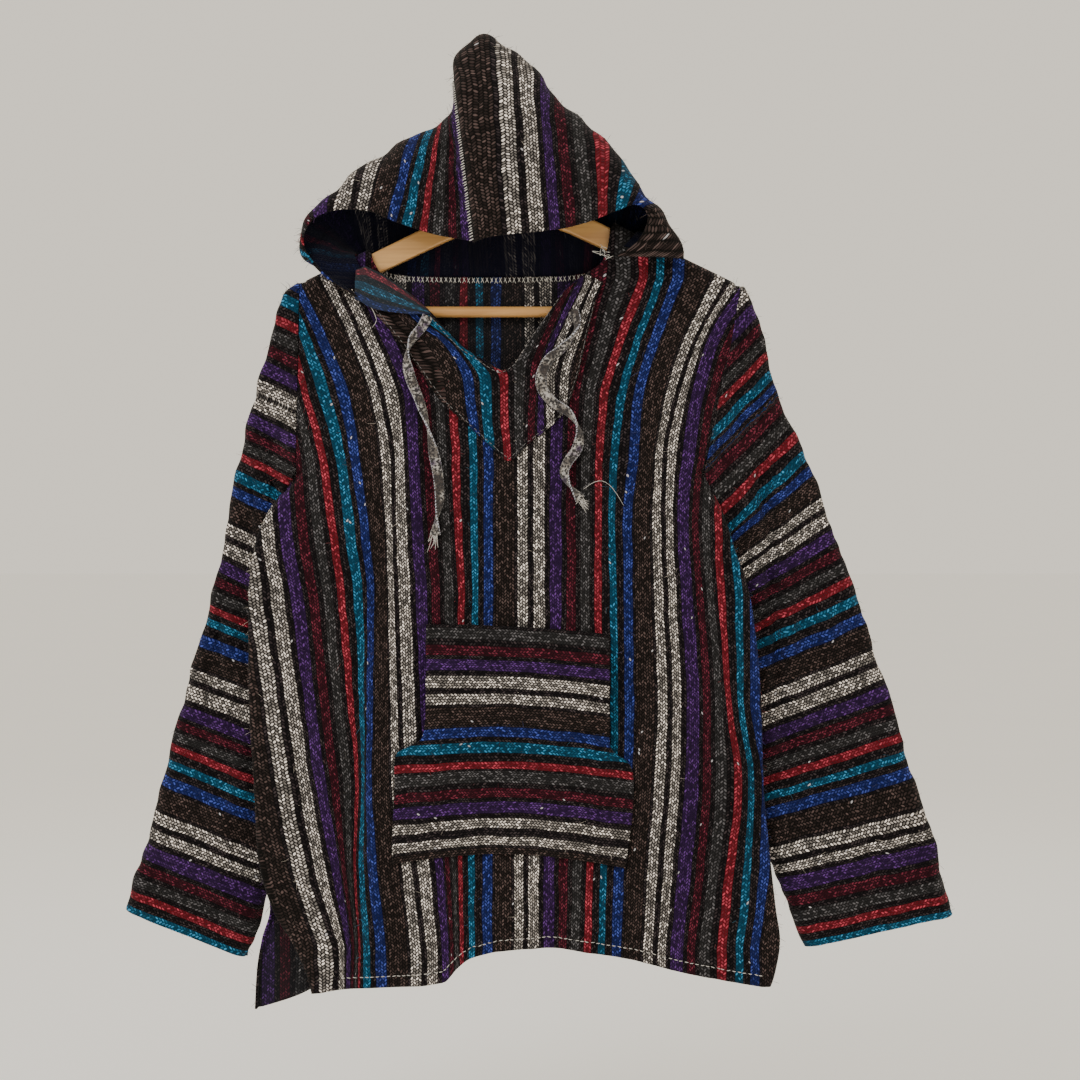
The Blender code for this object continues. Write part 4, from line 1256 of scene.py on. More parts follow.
@dataclass
class Sleeve:
    """One sleeve, a tube from the armhole to the cuff."""

    name: str
    hand: int                # -1 at the left, 1 at the right
    rows: Sequence[Ring]
    folds: Sequence[Fold]
    bands: Sequence[tuple[float, float]]
    rings: int = 170
    end_points: int = 14     # steps round each end of a ring
    side_points: int = 40    # steps along each of its long sides
    fold_margin: float = 18.0    # folds fade out this near a ring's ends, mm
    fold_behind: float = 0.7     # how much of a fold shows on the sleeve's back
    swell: float = 1.3
    fine_swell: float = 0.4
    steepest: float = 0.5    # most that a stripe drops towards the body, as a slope
    cut: tuple[float, float] = (0.36, 0.62)

    @property
    def side(self) -> str:
        """The body table's column of the edge that the sleeve is sewn to."""
        return "left" if self.hand < 0 else "right"

    def place(self, rings: Grid, grid: Grid) -> Grid:
        """The cloth's place at the tube's points: stripes run down from its outer edge, towards the body.

        Args:
            rings: The rings the tube was made from.
            grid: The tube's points, each ring from its inner edge round by the front.

        Returns:
            U and V in metres, with one more column than the grid.
        """
        out_x, out_z = rings[:, 0], rings[:, 1]
        slope = (out_z - rings[:, 3]) / np.maximum(np.abs(rings[:, 2] - out_x), 1.0)
        slope = np.minimum(slope, self.steepest)
        weave = np.empty((grid.shape[0], grid.shape[1] + 1, 2))
        ring = np.concatenate([grid, grid[:, :1]], axis=1)
        heights, stripes = [b[0] for b in self.bands], [b[1] for b in self.bands]
        n = np.arange(ring.shape[1])
        for i, row in enumerate(ring):
            reach = (out_x[None, :] - row[:, 0:1]) * self.hand
            miss = row[:, 2:3] - (out_z - slope * reach)
            k = np.clip((miss < 0).sum(axis=1), 1, len(rings) - 1)
            low, high = miss[n, k - 1], miss[n, k]
            share = np.clip(low / np.where(np.abs(low - high) < 1e-6, 1.0, low - high), -8.0, 8.0)
            level = out_z[k - 1] + (out_z[k] - out_z[k - 1]) * share
            far = (out_x[k] - row[:, 0]) * self.hand * np.sqrt(1 + slope[k] ** 2)
            weave[i, :, 0] = np.interp(PHOTO_Y - level, heights, stripes) * UNIT * MM
            weave[i, :, 1] = np.where(n < len(n) // 2, -far, far) * MM
        return weave

    def frame_rings(self) -> Grid:
        """The rings from the armhole's seam to the cuff."""
        top = float(column(BODY, self.side, SHOULDER_END_Z)) + self.hand * ARM_SEAM
        low = float(column(BODY, self.side, UNDERARM_Z)) + self.hand * ARM_SEAM
        seam = Ring(top, float(line_z(SHOULDER, top)), low, UNDERARM_Z, 0.0, 2 * SHOULDER_HALF)
        strip = seam._replace(x_out=top + self.hand * STRIP, x_in=low + self.hand * STRIP)
        return np.array([seam] + list(smooth_rows((strip,) + tuple(self.rows), self.rings)))

    def ring_points(self, ring: Sequence[float]) -> Grid:
        """One ring's points, from the front round its outer end to the back, and round again."""
        x_out, z_out, x_in, z_in, y_mid, thick = ring
        wide = math.hypot(x_in - x_out, z_in - z_out)
        radius = thick / 2
        turn = math.pi * (np.arange(self.end_points + 1) / self.end_points - 0.5)
        straight = (wide - 2 * radius) * np.arange(1, self.side_points) / self.side_points
        along = np.concatenate([radius - radius * np.cos(turn), radius + straight])
        y = np.concatenate([radius * np.sin(turn), np.full(len(straight), radius)])
        along = np.concatenate([along, wide - along])
        y = np.concatenate([y, -y])
        x = x_out + (x_in - x_out) * along / wide
        z = z_out + (z_in - z_out) * along / wide
        lift = fold_height(self.folds, x, z)
        lift = lift * ease(0.0, self.fold_margin, np.minimum(along, wide - along))
        return np.stack([x, y_mid + y + np.where(y < 0, -lift, self.fold_behind * lift), z], axis=-1)

    def piece(self) -> ClothPiece:
        """The sleeve's cloth."""
        rings = self.frame_rings()
        inner = self.side_points + self.end_points + self.end_points // 2
        grid = np.roll(np.array([self.ring_points(ring) for ring in rings]), -inner, axis=1)
        weave = self.place(rings, grid)
        return ClothPiece(self.name, grid + self.creases(grid), weave, closed=True, flip=self.hand < 0)

    def creases(self, grid: Grid) -> Grid:
        """Small moves of the sleeve's points along their normals, none at the armhole."""
        normal = normals_of(grid, True)
        middle = grid.mean(axis=1, keepdims=True)
        outward = np.sign((normal * (grid - middle)).sum(axis=2, keepdims=True))
        seed = 20 + self.hand
        x, y, z = grid[..., 0], grid[..., 1], grid[..., 2]
        swell = self.swell * ripple(x + 40 * (y > 0), z, 52.0, 90.0, seed)
        swell = swell + self.fine_swell * ripple(x, z, 20.0, 34.0, seed + 5)
        start = ease(3.0, 26.0, np.arange(grid.shape[0], dtype=float))[:, None]
        return normal * outward * (swell * start)[..., None]

    def build(self, cloth: bpy.types.Material, inner_face_shade: bpy.types.Material) -> ClothPiece:
        """The sleeve, a sheet sewn into a tube."""
        piece = self.piece()
        # The tube's inner faces take the second material: painted shade.
        tube = settle(piece.build(cloth, inner_face_shade), "striped_cloth", "sleeve_" + self.side)
        piece.area()
        return piece


@dataclass
class Hood:
    """The hood, two halves seamed down the middle and folded over the hanger."""

    between: int = 7         # extra sections between two rows of the table
    steps: int = 34          # steps from the rim to the crown, and from there to the neck
    swell: float = 1.5
    seam_reach: float = 1.7  # how far each half reaches past its table's end to meet the other, mm
    left_cut: tuple[float, float] = (0.27, 0.36)
    right_cut: tuple[float, float] = (0.30, 0.38)

    def section(self, arch: Sequence[float]) -> list[Grid]:
        """One section's points, a quarter oval from the rim to the crown and one down to the neck."""
        rim, top, neck = (np.array((arch[k], arch[k + 2], arch[k + 1])) for k in (0, 3, 6))
        line = []
        for start, ways in ((rim, range(self.steps)), (neck, range(self.steps, -1, -1))):
            for k in ways:
                turn = math.pi / 2 * k / self.steps
                rise, back = math.sin(turn), 1 - math.cos(turn)
                line.append(start + (top - start) * np.array((rise, back, rise)))
        return line

    def half(self, name: str, rows: Sequence[Arch], bands: Sequence[float], seam_end: bool) -> ClothPiece:
        """One half.

        Args:
            name: The piece's name.
            rows: Its table.
            bands: The cloth's place across the stripes at each row.
            seam_end: True where the middle seam is at the table's end.

        Returns:
            The piece.
        """
        count = (len(rows) - 1) * (self.between + 1) + 1
        grid = np.array([self.section(arch) for arch in smooth_rows(rows, count)])
        down = np.arange(grid.shape[1], dtype=float) / (grid.shape[1] - 1)
        along = np.arange(grid.shape[0], dtype=float) / (grid.shape[0] - 1)
        free = ease(0.0, 0.08, down)[None, :] * ease(0.0, 0.16, 1 - down)[None, :]
        free = free * (ease(0.0, 0.1, along) * ease(0.0, 0.1, 1 - along))[:, None]
        swell = self.swell * ripple(grid[..., 0], grid[..., 2], 46.0, 60.0, 31 if seam_end else 37)
        grid = grid + normals_of(grid, False) * (swell * free)[..., None]
        end, beside = (-1, -2) if seam_end else (0, 1)
        away = grid[beside] - grid[end]
        grid[end] -= away / np.linalg.norm(away, axis=1)[:, None] * self.seam_reach
        across = np.interp(np.linspace(0, len(rows) - 1, count), np.arange(len(rows)), bands)
        lengths = lengths_along(grid, 1) * MM
        weave = np.stack([across[:, None] * UNIT * MM + np.zeros_like(lengths), lengths], axis=-1)
        return ClothPiece(name, grid, weave)

    def build(self, cloth: bpy.types.Material, hood_inside_shade: bpy.types.Material) -> list[ClothPiece]:
        """Both halves, hung over the hanger."""
        left = self.half("hood_half_left", HOOD_LEFT, HOOD_LEFT_BANDS, True)
        right = self.half("hood_half_right", HOOD_RIGHT, HOOD_RIGHT_BANDS, False)
        for piece, node, cut in ((left, "hood_left", self.left_cut), (right, "hood_right", self.right_cut)):
            # The halves' inner faces take the near-black material: painted shade inside the hood.
            half = settle(piece.build(cloth, hood_inside_shade), "striped_cloth", node)
            piece.area()
        return [left, right]


@dataclass
class Facing:
    """The band sewn round the neck slit, laid on the front."""

    body: Body
    rows: int = 150
    across: int = 24
    wall: float = 1.9
    cut: tuple[float, float] = (0.24, 0.22)

    def piece(self) -> ClothPiece:
        """The band's cloth."""
        table = smooth_rows(FACING, self.rows)
        share = np.linspace(0, 1, self.across)[None, :]
        x = table[:, 0:1] + (table[:, 2:3] - table[:, 0:1]) * share
        z = table[:, 1:2] + (table[:, 3:4] - table[:, 1:2]) * share
        y = -self.body.depth(x, z, Side.FRONT) - LAYER
        weave = np.stack([self.body.warp(x, z, FACING_KEYS, FACING_ROWS), -z * MM], axis=-1)
        return ClothPiece("facing_band", np.stack([x, y, z], axis=-1), weave, wall=self.wall)

    def build(self, cloth: bpy.types.Material) -> ClothPiece:
        """The band, laid on the front."""
        piece = self.piece()
        band = settle(piece.build(cloth), "facing_cloth", "neck_facing")
        piece.area()
        return piece


@dataclass
class Pocket:
    """The pouch pocket, standing off at its two hand openings."""

    body: Body
    step_down: float = 3.0
    across: int = 78
    top_z: float = -551.0
    low_z: float = -786.0
    cut: tuple[float, float] = (0.235, 0.25)

    def piece(self) -> ClothPiece:
        """The pocket's cloth."""
        level = dense([row.z for row in POCKET], self.step_down)[:, None]
        share = np.linspace(0, 1, self.across)[None, :]
        left, right, mouth = (column(POCKET, name, level) for name in ("left", "right", "mouth"))
        x = left + (right - left) * share
        high = ease(self.low_z, self.top_z, level)
        z = level - POCKET_TOP_DROP * share ** 2 * high
        z = z + POCKET_ARC * (1 - high) * (np.sin(math.pi * share) - 0.35 * share)
        rise = ease(0.0, 20.0, self.top_z - level) * ease(0.0, 26.0, level - self.low_z)
        sides = ease(0.0, 0.16, share) * ease(0.0, 0.16, 1 - share)
        bulge = POCKET_BULGE * rise * (mouth + (1 - mouth) * sides)
        bulge = bulge + ripple(x, z, 60.0, 46.0, 51) * rise * sides
        y = -self.body.depth(x, z, Side.FRONT) - LAYER - POCKET_CLEAR - bulge
        across = np.interp(PHOTO_Y - level, [b[0] for b in BANDS_POCKET], [b[1] for b in BANDS_POCKET])
        weave = np.stack([across * UNIT * MM + 0 * x, x * MM], axis=-1)
        return ClothPiece("pouch_pocket", np.stack([x, y, z], axis=-1), weave)

    def build(self, cloth: bpy.types.Material) -> ClothPiece:
        """The pocket, laid on the front."""
        piece = self.piece()
        pouch = settle(piece.build(cloth), "pocket_cloth", "pocket")
        piece.area()
        return piece


@dataclass
class Lapel:
    """The corner of the facing that is folded outwards at the left of the neck."""

    body: Body
    rows: int = 22
    across: int = 40
    wall: float = 1.6
    clear: float = 3.2       # room between the facing and the corner's fold, mm
    lean: float = 7.0        # how far the corner's outer end stands away from the neck, mm
    stripe: float = 74.0     # the stripe at its fold, and how far the stripes go to its edge
    stripe_down: float = 38.0
    stripe_across: float = -4.0
    cut: tuple[float, float] = (0.085, 0.045)

    def piece(self) -> ClothPiece:
        """The folded corner's cloth."""
        share = np.linspace(0, 1, self.across)[None, :]
        down = np.linspace(0, 1, self.rows)[:, None]
        ends = np.linspace(0, 1, len(LAPEL_FOLD))
        x, z = (np.interp(share, ends, [p[k] for p in LAPEL_FOLD]) * (1 - down)
                + np.interp(share, ends, [p[k] for p in LAPEL_EDGE]) * down for k in (0, 1))
        z = z + 1.2 * np.sin(9 * share + 1.0) * down
        curl = 3.0 * np.sin(math.pi * down) + 2.2 * down * (1 - 0.6 * share)
        y = -self.body.depth(x, z, Side.FRONT) - LAYER - self.clear - self.lean * (1 - share) ** 2 - curl
        across = self.stripe + self.stripe_down * down + self.stripe_across * share
        weave = np.stack([across * UNIT * MM, x * MM], axis=-1)
        return ClothPiece("folded_corner", np.stack([x, y, z], axis=-1), weave, wall=self.wall)

    def build(self, cloth: bpy.types.Material) -> None:
        """The corner, a folded sheet laid on the facing."""
        piece = self.piece()
        corner = settle(piece.build(cloth), "facing_cloth")
        piece.area()


@dataclass
class Tie:
    """One of the two ties: a narrow twisted strip that hangs from a corner of the neck."""

    name: str
    node: str
    body: Body
    bends: Sequence[Point]
    turns: Sequence[float]       # how far the strip has twisted at even steps along it, in turns
    half_wide: float = 5.4
    half_thick: float = 1.5
    clear: float = 0.5           # room between the strip and the cloth beneath it, mm
    steps: int = 150
    around: int = 20

    def path(self) -> Grid:
        """The strip's middle line, in mm."""
        flat = smooth_rows(self.bends, self.steps)
        x, z = flat[:, 0], flat[:, 1]
        y = -self.body.depth(x, z, Side.FRONT) - (LAYER + WALL / 2 + TIE_RADIUS + self.clear)
        return np.stack([x, y, z], axis=-1)

    def sections(self, path: Grid) -> Grid:
        """Rings of points round the path, a flat rounded section that turns on its way."""
        ahead = np.gradient(path, axis=0)
        ahead /= np.linalg.norm(ahead, axis=1)[:, None]
        wide = np.cross(ahead, np.array((0.0, -1.0, 0.0)))
        wide /= np.linalg.norm(wide, axis=1)[:, None]
        deep = np.cross(wide, ahead)
        ends = np.linspace(0, 1, len(self.turns))
        turn = 2 * math.pi * np.interp(np.linspace(0, 1, self.steps), ends, self.turns)
        narrow = 1 - 0.12 * np.abs(np.sin(turn))
        angle = 2 * math.pi * np.arange(self.around) / self.around
        across = np.sign(np.cos(angle)) * np.abs(np.cos(angle)) ** 0.6 * self.half_wide
        thick = np.sign(np.sin(angle)) * np.abs(np.sin(angle)) ** 0.8 * self.half_thick
        rings = []
        for k in range(self.steps):
            axis_wide = wide[k] * math.cos(turn[k]) + deep[k] * math.sin(turn[k])
            axis_deep = deep[k] * math.cos(turn[k]) - wide[k] * math.sin(turn[k])
            rings.append(path[k] + np.outer(across * narrow[k], axis_wide) + np.outer(thick, axis_deep))
        return np.array(rings)

    def skin(self, run: Grid) -> tuple[list, list]:
        """The faces of the closed strip, and U round it and V along it at each face's corners."""
        faces, places = [], []
        n = self.around
        for i in range(self.steps - 1):
            for j in range(n):
                k = (j + 1) % n
                faces.append((i * n + j, i * n + k, (i + 1) * n + k, (i + 1) * n + j))
                places += [(j / n, run[i]), ((j + 1) / n, run[i]),
                           ((j + 1) / n, run[i + 1]), (j / n, run[i + 1])]
        last = (self.steps - 1) * n
        faces += [tuple(range(n - 1, -1, -1)), tuple(range(last, last + n))]
        places += [(j / n, run[0]) for j in range(n - 1, -1, -1)] + [(j / n, run[-1]) for j in range(n)]
        return faces, places

    def build(self, finish: bpy.types.Material) -> None:
        """The strip as a closed mesh, a cord that hangs to a frayed end."""
        path = self.path()
        run = lengths_along(path[:, None, :], 0)[:, 0] * MM
        faces, places = self.skin(run)
        strip = add_piece(self.name, self.sections(path), faces, places, finish)
        settle(strip, "tie_cord", self.node)
        LOG.info("%s: %.0f mm long", self.name, run[-1] * 1000)


# ---- sewing and loose fibre ----

def strands(name: str, paths: Sequence[Grid], radius: float, finish: bpy.types.Material,
            places: Grid | None = None, sides: int = 4) -> bpy.types.Object:
    """Many fine threads as one mesh.

    Args:
        name: The piece's name.
        paths: Each thread's points, in mm; all have the same number.
        radius: The threads' radius in mm.
        finish: Their material.
        places: The cloth's U and V at each thread, where its colour comes from the cloth.
        sides: Corners of a thread's section.

    Returns:
        The object.
    """
    lines = np.asarray(paths, float)
    count, steps = lines.shape[:2]
    ahead = np.gradient(lines, axis=1)
    ahead /= np.linalg.norm(ahead, axis=2, keepdims=True) + 1e-9
    aside = np.cross(ahead, np.array((0.13, 0.21, 0.97)))
    aside /= np.linalg.norm(aside, axis=2, keepdims=True) + 1e-9
    other = np.cross(ahead, aside)
    turn = 2 * math.pi * np.arange(sides) / sides
    slim = np.interp(np.linspace(0, 1, steps), (0, 0.2, 0.8, 1), (0.7, 1, 1, 0.5))[None, :, None, None]
    points = lines[:, :, None, :] + radius * slim * (
        aside[:, :, None, :] * np.cos(turn)[None, None, :, None]
        + other[:, :, None, :] * np.sin(turn)[None, None, :, None])
    i, j, k = np.meshgrid(np.arange(count), np.arange(steps - 1), np.arange(sides), indexing="ij")
    base, after = (i * steps + j) * sides, (k + 1) % sides
    faces = np.stack([base + k, base + after, base + sides + after, base + sides + k], axis=-1).reshape(-1, 4)
    start = np.arange(count)[:, None] * steps * sides
    first = start + np.arange(sides)[None, ::-1]
    last = start + (steps - 1) * sides + np.arange(sides)[None, :]
    if places is not None:
        places = np.concatenate([np.repeat(places, (steps - 1) * sides * 4, axis=0),
                                 np.repeat(places, sides, axis=0), np.repeat(places, sides, axis=0)])
    made = add_piece(name, points, faces.tolist() + first.tolist() + last.tolist(), places, finish)
    LOG.info("%s: %d threads", name, count)
    return made


@dataclass
class Sewing:
    """Rows of thread stitches that lie on the cloth, and the loose thread ends."""

    body: Body
    stitch: float = 3.6      # length of one stitch, mm
    gap: float = 1.7
    radius: float = 0.42
    whip_radius: float = 0.65
    end_radius: float = 0.3
    off_cloth: float = WALL / 2 + 0.45   # from the middle of the cloth to that of a stitch, mm
    off_loose: float = WALL / 2 + 0.9    # the same for a loose end
    off_corner: float = 9.0              # the folded corner stands this much further out
    hem_up: float = 11.0                 # the hem's stitches lie this far above its edge, mm
    zigzag_step: float = 2.3
    zigzag_high: float = 5.4
    zigzag_wide: float = 2.6
    whip_step: float = 2.7
    neck_ends: int = 9                   # loose ends in the tuft at the right corner of the neck
    tuft: tuple[float, float, float] = (86.0, -29.0, -184.0)
    tie_ends: int = 14                   # frayed threads at the end of each tie
    end_points: int = 12                 # points along one loose end

    def on_front(self, x: Grid, z: Grid, off: float | Grid) -> Grid:
        """Points on the front, a distance off its middle surface."""
        return np.stack([x, -self.body.depth(x, z, Side.FRONT) - off, z], axis=-1)

    def row(self, line: Sequence[Point], off: float, seed: int, sway: float = 0.5) -> list[Grid]:
        """Stitches along a line seen from the front.

        Args:
            line: The line's points.
            off: Distance from the front's middle surface.
            seed: Chooses their small unevenness.
            sway: How far they stray to either side, mm.

        Returns:
            The stitches' paths.
        """
        draw = np.random.default_rng(seed)
        dots = np.array(line, float)
        run = np.concatenate([[0.0], np.cumsum(np.linalg.norm(np.diff(dots, axis=0), axis=1))])
        paths = []
        start = 0.0
        while start + self.stitch < run[-1]:
            at = start + self.stitch * np.linspace(0, 1, 5)
            x = np.interp(at, run, dots[:, 0]) + draw.uniform(-sway, sway)
            z = np.interp(at, run, dots[:, 1]) + draw.uniform(-sway, sway) * np.linspace(-1, 1, 5)
            paths.append(self.on_front(x, z, off - np.array((0.5, 0.05, -0.1, 0.05, 0.5))))
            start += self.stitch + self.gap * draw.uniform(0.6, 1.5)
        return paths

    def neck_edge(self) -> list[Grid]:
        """The overlock zigzag along the back's neckline, on its inside."""
        draw = np.random.default_rng(5)
        paths = []
        for x0 in np.arange(-128.0, 74.0, self.zigzag_step):
            way = np.linspace(0, 1, 5)
            high = float(line_z(NECK_BACK, x0)) - 0.6 - self.zigzag_high * way * draw.uniform(0.8, 1.15)
            x = x0 + self.zigzag_wide * way * (-1) ** len(paths) + draw.uniform(-0.3, 0.3)
            y = self.body.depth(x, high, Side.BACK) - WALL / 2 - 0.35
            paths.append(np.stack([x, y, high], axis=-1))
        return paths

    def hood_fold(self, half: ClothPiece) -> list[Grid]:
        """Whip stitches over the hood's middle seam, from its rim up to its peak.

        Args:
            half: The half of the hood whose first line is the seam.

        Returns:
            The stitches' paths.
        """
        draw = np.random.default_rng(9)
        line = half.grid[0, :30]
        run = lengths_along(line[:, None, :], 0)[:, 0]
        paths = []
        for at in np.arange(3.0, run[-1], self.whip_step):
            middle = np.array([np.interp(at, run, line[:, k]) for k in range(3)])
            way = np.linspace(-1, 1, 5)
            x = middle[0] + 3.0 * way * draw.uniform(0.8, 1.2)
            z = middle[2] + 1.5 * way + draw.uniform(-0.4, 0.4)
            paths.append(np.stack([x, middle[1] - WALL / 2 - 1.5 + 1.1 * way ** 2, z], axis=-1))
        return paths

    def loose(self, ties: Sequence[Tie]) -> list[Grid]:
        """Loose thread ends: on the front, at the neck's corners and frayed at the ties' ends."""
        draw = np.random.default_rng(21)
        paths = []
        for dots, on_corner in LOOSE_ENDS:
            line = smooth_rows(dots, self.end_points)
            off = self.off_loose + (self.off_corner if on_corner else 0.0)
            paths.append(self.on_front(line[:, 0], line[:, 1], off))
        t = np.linspace(0, 1, self.end_points)[:, None]
        for _ in range(self.neck_ends):
            start = np.array(self.tuft) + draw.normal(0, 2.0, 3)
            swing = draw.normal(0, 1, (3, 3)) * 3.4
            paths.append(start + swing[0] * t + swing[1] * t ** 2 + swing[2] * np.sin(4 * t)
                         - np.array((0.0, 2.0, 0.0)))
        for tie in ties:
            path = tie.path()
            ahead = path[-1] - path[-4]
            ahead /= np.linalg.norm(ahead)
            for _ in range(self.tie_ends):
                start = path[-1] - ahead * 2.0 + draw.normal(0, 1.0, 3) * np.array((2.2, 0.5, 1.0))
                stray = draw.normal(0, 1, 3) * np.array((4.0, 1.2, 3.0))
                paths.append(start + ahead * t * draw.uniform(5, 15) + stray * t ** 2)
        return paths

    def build(self, half: ClothPiece, ties: Sequence[Tie], pale: bpy.types.Material,
              dark: bpy.types.Material) -> None:
        """Every row of stitches, and the loose ends."""
        settle(strands("hood_stitches", self.hood_fold(half), self.whip_radius, pale), "tie_cord")
        settle(strands("thread_ends", self.loose(ties), self.end_radius, pale), "tie_cord")
        hem = [Point(p.x, p.z + self.hem_up) for p in HEM_FRONT[1:]]
        rows = self.row(hem, self.off_cloth, 11) + self.neck_edge()
        outer = [Point(band.out_x * 0.985, band.out_z + 2.0) for band in FACING[1:-1]]
        rim = [Point(band.in_x - 1.5, band.in_z - 2.5) for band in FACING[2:-2]]
        off = LAYER + self.off_cloth
        facing = self.row(outer, off, 12) + self.row(rim, off, 13, 0.3)
        settle(strands("hem_stitches", rows, self.radius, pale), "tie_cord")
        settle(strands("facing_stitches", facing, self.radius * 0.8, dark), "facing_cloth")


@dataclass
class Nap:
    """The cloth's loose fibre: short ends that stand out of the yarn."""

    total: int = 10400
    longest: float = 7.5
    radius: float = 0.15

    def grow(self, piece: ClothPiece, count: int, draw: np.random.Generator) -> tuple[Grid, Grid]:
        """Fibres on one piece.

        Args:
            piece: The cloth.
            count: How many fibres to grow on it.
            draw: Where the random numbers come from.

        Returns:
            The fibres' paths in mm, and the cloth's own place at each root.
        """
        grid, normal = piece.grid, normals_of(piece.grid, piece.closed)
        rows, columns = grid.shape[:2]
        i = draw.integers(1, rows - 1, count)
        j = draw.integers(1, columns - 1, count)
        root = grid[i, j] + (grid[i - 1, j] - grid[i, j]) * draw.uniform(0, 1, (count, 1))
        root = root + (grid[i, j - 1] - grid[i, j]) * draw.uniform(0, 1, (count, 1))
        out = normal[i, j] * (-1.0 if piece.flip else 1.0)
        lean = out * 0.55 + draw.normal(0, 1, (count, 3)) * 0.55
        lean /= np.linalg.norm(lean, axis=1, keepdims=True)
        lean = lean + out * (0.15 - np.minimum(0.0, (lean * out).sum(axis=1, keepdims=True)) * 2)
        droop = draw.normal(0, 1, (count, 3)) * 0.5 + np.array((0.0, 0.0, -0.35))
        length = self.longest * draw.uniform(0.25, 1.0, (count, 1)) ** 1.6
        steps = np.linspace(0, 1, 4)[None, :, None]
        root = root + out * piece.wall * 0.35
        bent = lean[:, None, :] * steps + droop[:, None, :] * steps ** 2 * 0.6
        return root[:, None, :] + length[:, None, :] * bent, piece.weave[i, j]

    def build(self, pieces: Sequence[ClothPiece], finish: bpy.types.Material) -> None:
        """Fibres over every piece, as many on each as its share of the cloth.

        Args:
            pieces: The cloth.
            finish: The fibres' material.
        """
        draw = np.random.default_rng(77)
        areas = np.array([piece.area() for piece in pieces])
        grown = [self.grow(piece, int(self.total * share), draw)
                 for piece, share in zip(pieces, areas / areas.sum())]
        paths, places = (np.concatenate(part) for part in zip(*grown))
        settle(strands("loose_fibre", paths, self.radius, finish, places, 3), "striped_cloth")


# ---- the hanger, the studio and the whole ----

@dataclass
class Hanger:
    """The wooden hanger and its wire hook."""

    def build(self, wood: bpy.types.Material, steel: bpy.types.Material) -> None:
        """Dress the hanger's own solids."""
        for node, finish in (("hanger_arms", wood), ("hanger_bar", wood), ("hanger_hook", steel)):
            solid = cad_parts[node]
            solid.data.materials.clear()
            solid.data.materials.append(finish)
            LOG.info("%s: dressed", node)


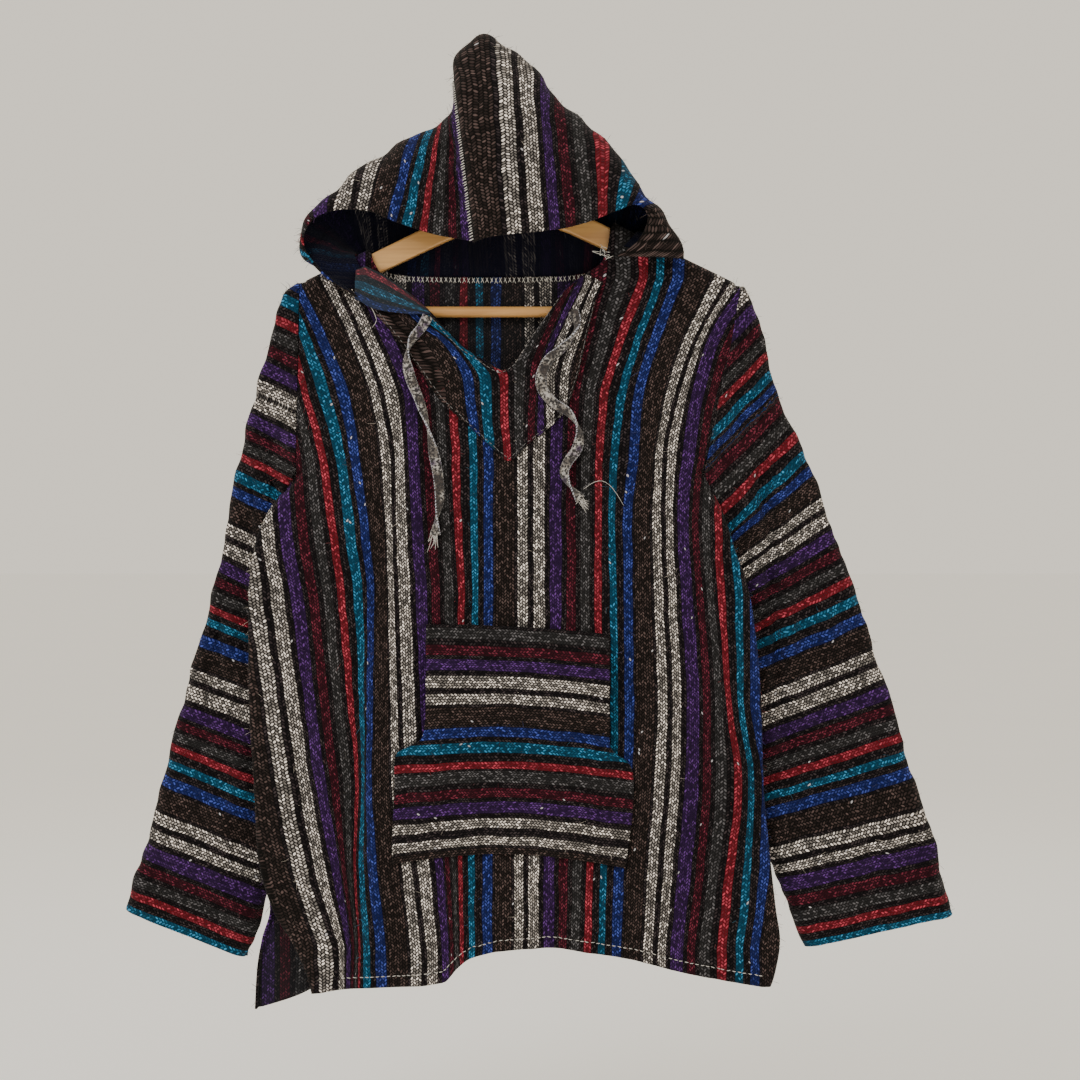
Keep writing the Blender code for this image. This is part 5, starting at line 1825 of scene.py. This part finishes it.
@dataclass
class Studio:
    """A plain pale floor, soft lights and the camera."""

    floor_z: float = -1.16
    floor_half: float = 40.0
    floor_dark: Colour = (0.95, 0.945, 0.93)
    floor_pale: Colour = (0.97, 0.965, 0.95)
    sky: Colour = (1.04, 0.96, 0.82)
    distance: float = 2.05
    centre: tuple[float, float] = (0.023, -0.468)
    wide: float = 1.08           # width of the view at the garment, in metres
    sensor: float = 36.0

    def build(self) -> None:
        """Floor, lights, sky and camera."""
        pale = Finish("pale_floor")
        cloud = pale.noise(pale.object_place(), 2.0, 3.0)
        colour = pale.mix(cloud, (*self.floor_dark, 1.0), (*self.floor_pale, 1.0))
        pale.feed(Base_Color=colour, Roughness=0.95)
        bpy.ops.mesh.primitive_plane_add(size=2 * self.floor_half, location=(0, 0, self.floor_z))
        floor = bpy.context.active_object
        floor.name = "studio_floor"
        floor.data.materials.append(pale.material)
        world = bpy.data.worlds.new("pale_studio")
        world.use_nodes = True
        sky = world.node_tree.nodes["Background"]
        sky.inputs["Color"].default_value = (*self.sky, 1.0)
        sky.inputs["Strength"].default_value = 1.0
        bpy.context.scene.world = world
        self.light("key", (-1.6, -2.4, 1.3), 1.4, 46.0)
        self.light("fill", (1.9, -2.2, 0.2), 1.8, 6.0)
        self.light("rim", (0.3, 1.9, 1.2), 1.5, 12.0)
        self.camera()

    def camera(self) -> None:
        """The camera, level in front of the garment."""
        lens = bpy.data.cameras.new("camera")
        lens.sensor_width = self.sensor
        lens.lens = self.sensor * self.distance / self.wide
        lens.clip_end = 60.0
        camera = bpy.data.objects.new("camera", lens)
        camera.location = (self.centre[0], -self.distance, self.centre[1])
        camera.rotation_euler = (math.pi / 2, 0.0, 0.0)
        bpy.context.scene.collection.objects.link(camera)
        bpy.context.scene.camera = camera

    def light(self, name: str, place: tuple[float, float, float], size: float, power: float) -> None:
        """A square soft light aimed at the garment.

        Args:
            name: Its name.
            place: Where it stands, in metres.
            size: Its side, in metres.
            power: Its power, in watts.
        """
        lamp = bpy.data.lights.new(name, "AREA")
        lamp.size = size
        lamp.energy = power
        lit = bpy.data.objects.new(name, lamp)
        lit.location = place
        aim = Vector((self.centre[0], 0.0, self.centre[1])) - Vector(place)
        lit.rotation_euler = aim.to_track_quat("-Z", "Y").to_euler()
        bpy.context.scene.collection.objects.link(lit)


def main() -> None:
    """Build the hoodie piece by piece."""
    logging.basicConfig(level=logging.INFO, format="%(name)s: %(message)s")
    Studio().build()
    cloth = Handwoven("handwoven_cloth").build()
    # Darker, greyer inner faces of the body and sleeves: painted shade inside the garment.
    inner_face_shade = Handwoven("inner_faces_painted_shade", muted=0.16, lift=0.6, veil=(0.040, 0.042, 0.050)).build()
    # Near-black, navy inner faces of the hood: painted shade inside it.
    hood_inside_shade = Handwoven("hood_inside_painted_shade", muted=0.6, lift=0.22, veil=(0.005, 0.006, 0.018)).build()
    body = Body()
    pieces = body.build(cloth, inner_face_shade)
    left = Sleeve("sleeve_left_tube", -1, SLEEVE_LEFT, SLEEVE_FOLDS_LEFT, BANDS_LEFT)
    right = Sleeve("sleeve_right_tube", 1, SLEEVE_RIGHT, SLEEVE_FOLDS_RIGHT, BANDS_RIGHT, steepest=1.0)
    pieces += [left.build(cloth, inner_face_shade), right.build(cloth, inner_face_shade)]
    hood = Hood().build(cloth, hood_inside_shade)
    pieces += hood
    pieces.append(Facing(body).build(Handwoven("facing_cloth").build()))
    pieces.append(Pocket(body).build(Handwoven("pocket_cloth").build()))
    Lapel(body).build(Handwoven("turned_corner", muted=0.35, veil=(0.050, 0.065, 0.080)).build())
    Nap().build(pieces, Fibre("cloth_fibre").build())
    whipped = Whipped("whipped_strip").build()
    ties = [Tie("tie_strip_left", "tie_left", body, TIE_LEFT, (0.0, 0.1, 0.5, 0.6, 1.0, 1.1, 1.5)),
            Tie("tie_strip_right", "tie_right", body, TIE_RIGHT, (0.0, -0.4, -0.5, -0.6, -1.0, -1.1, -1.5))]
    for tie in ties:
        tie.build(whipped)
    Sewing(body).build(hood[1], ties, Thread("pale_thread").build(),
                       Thread("grey_thread", (0.20, 0.19, 0.19)).build())
    Hanger().build(Lacquered("lacquered_wood").build(), Steel("bright_wire").build())


if __name__ == "__main__":
    main()
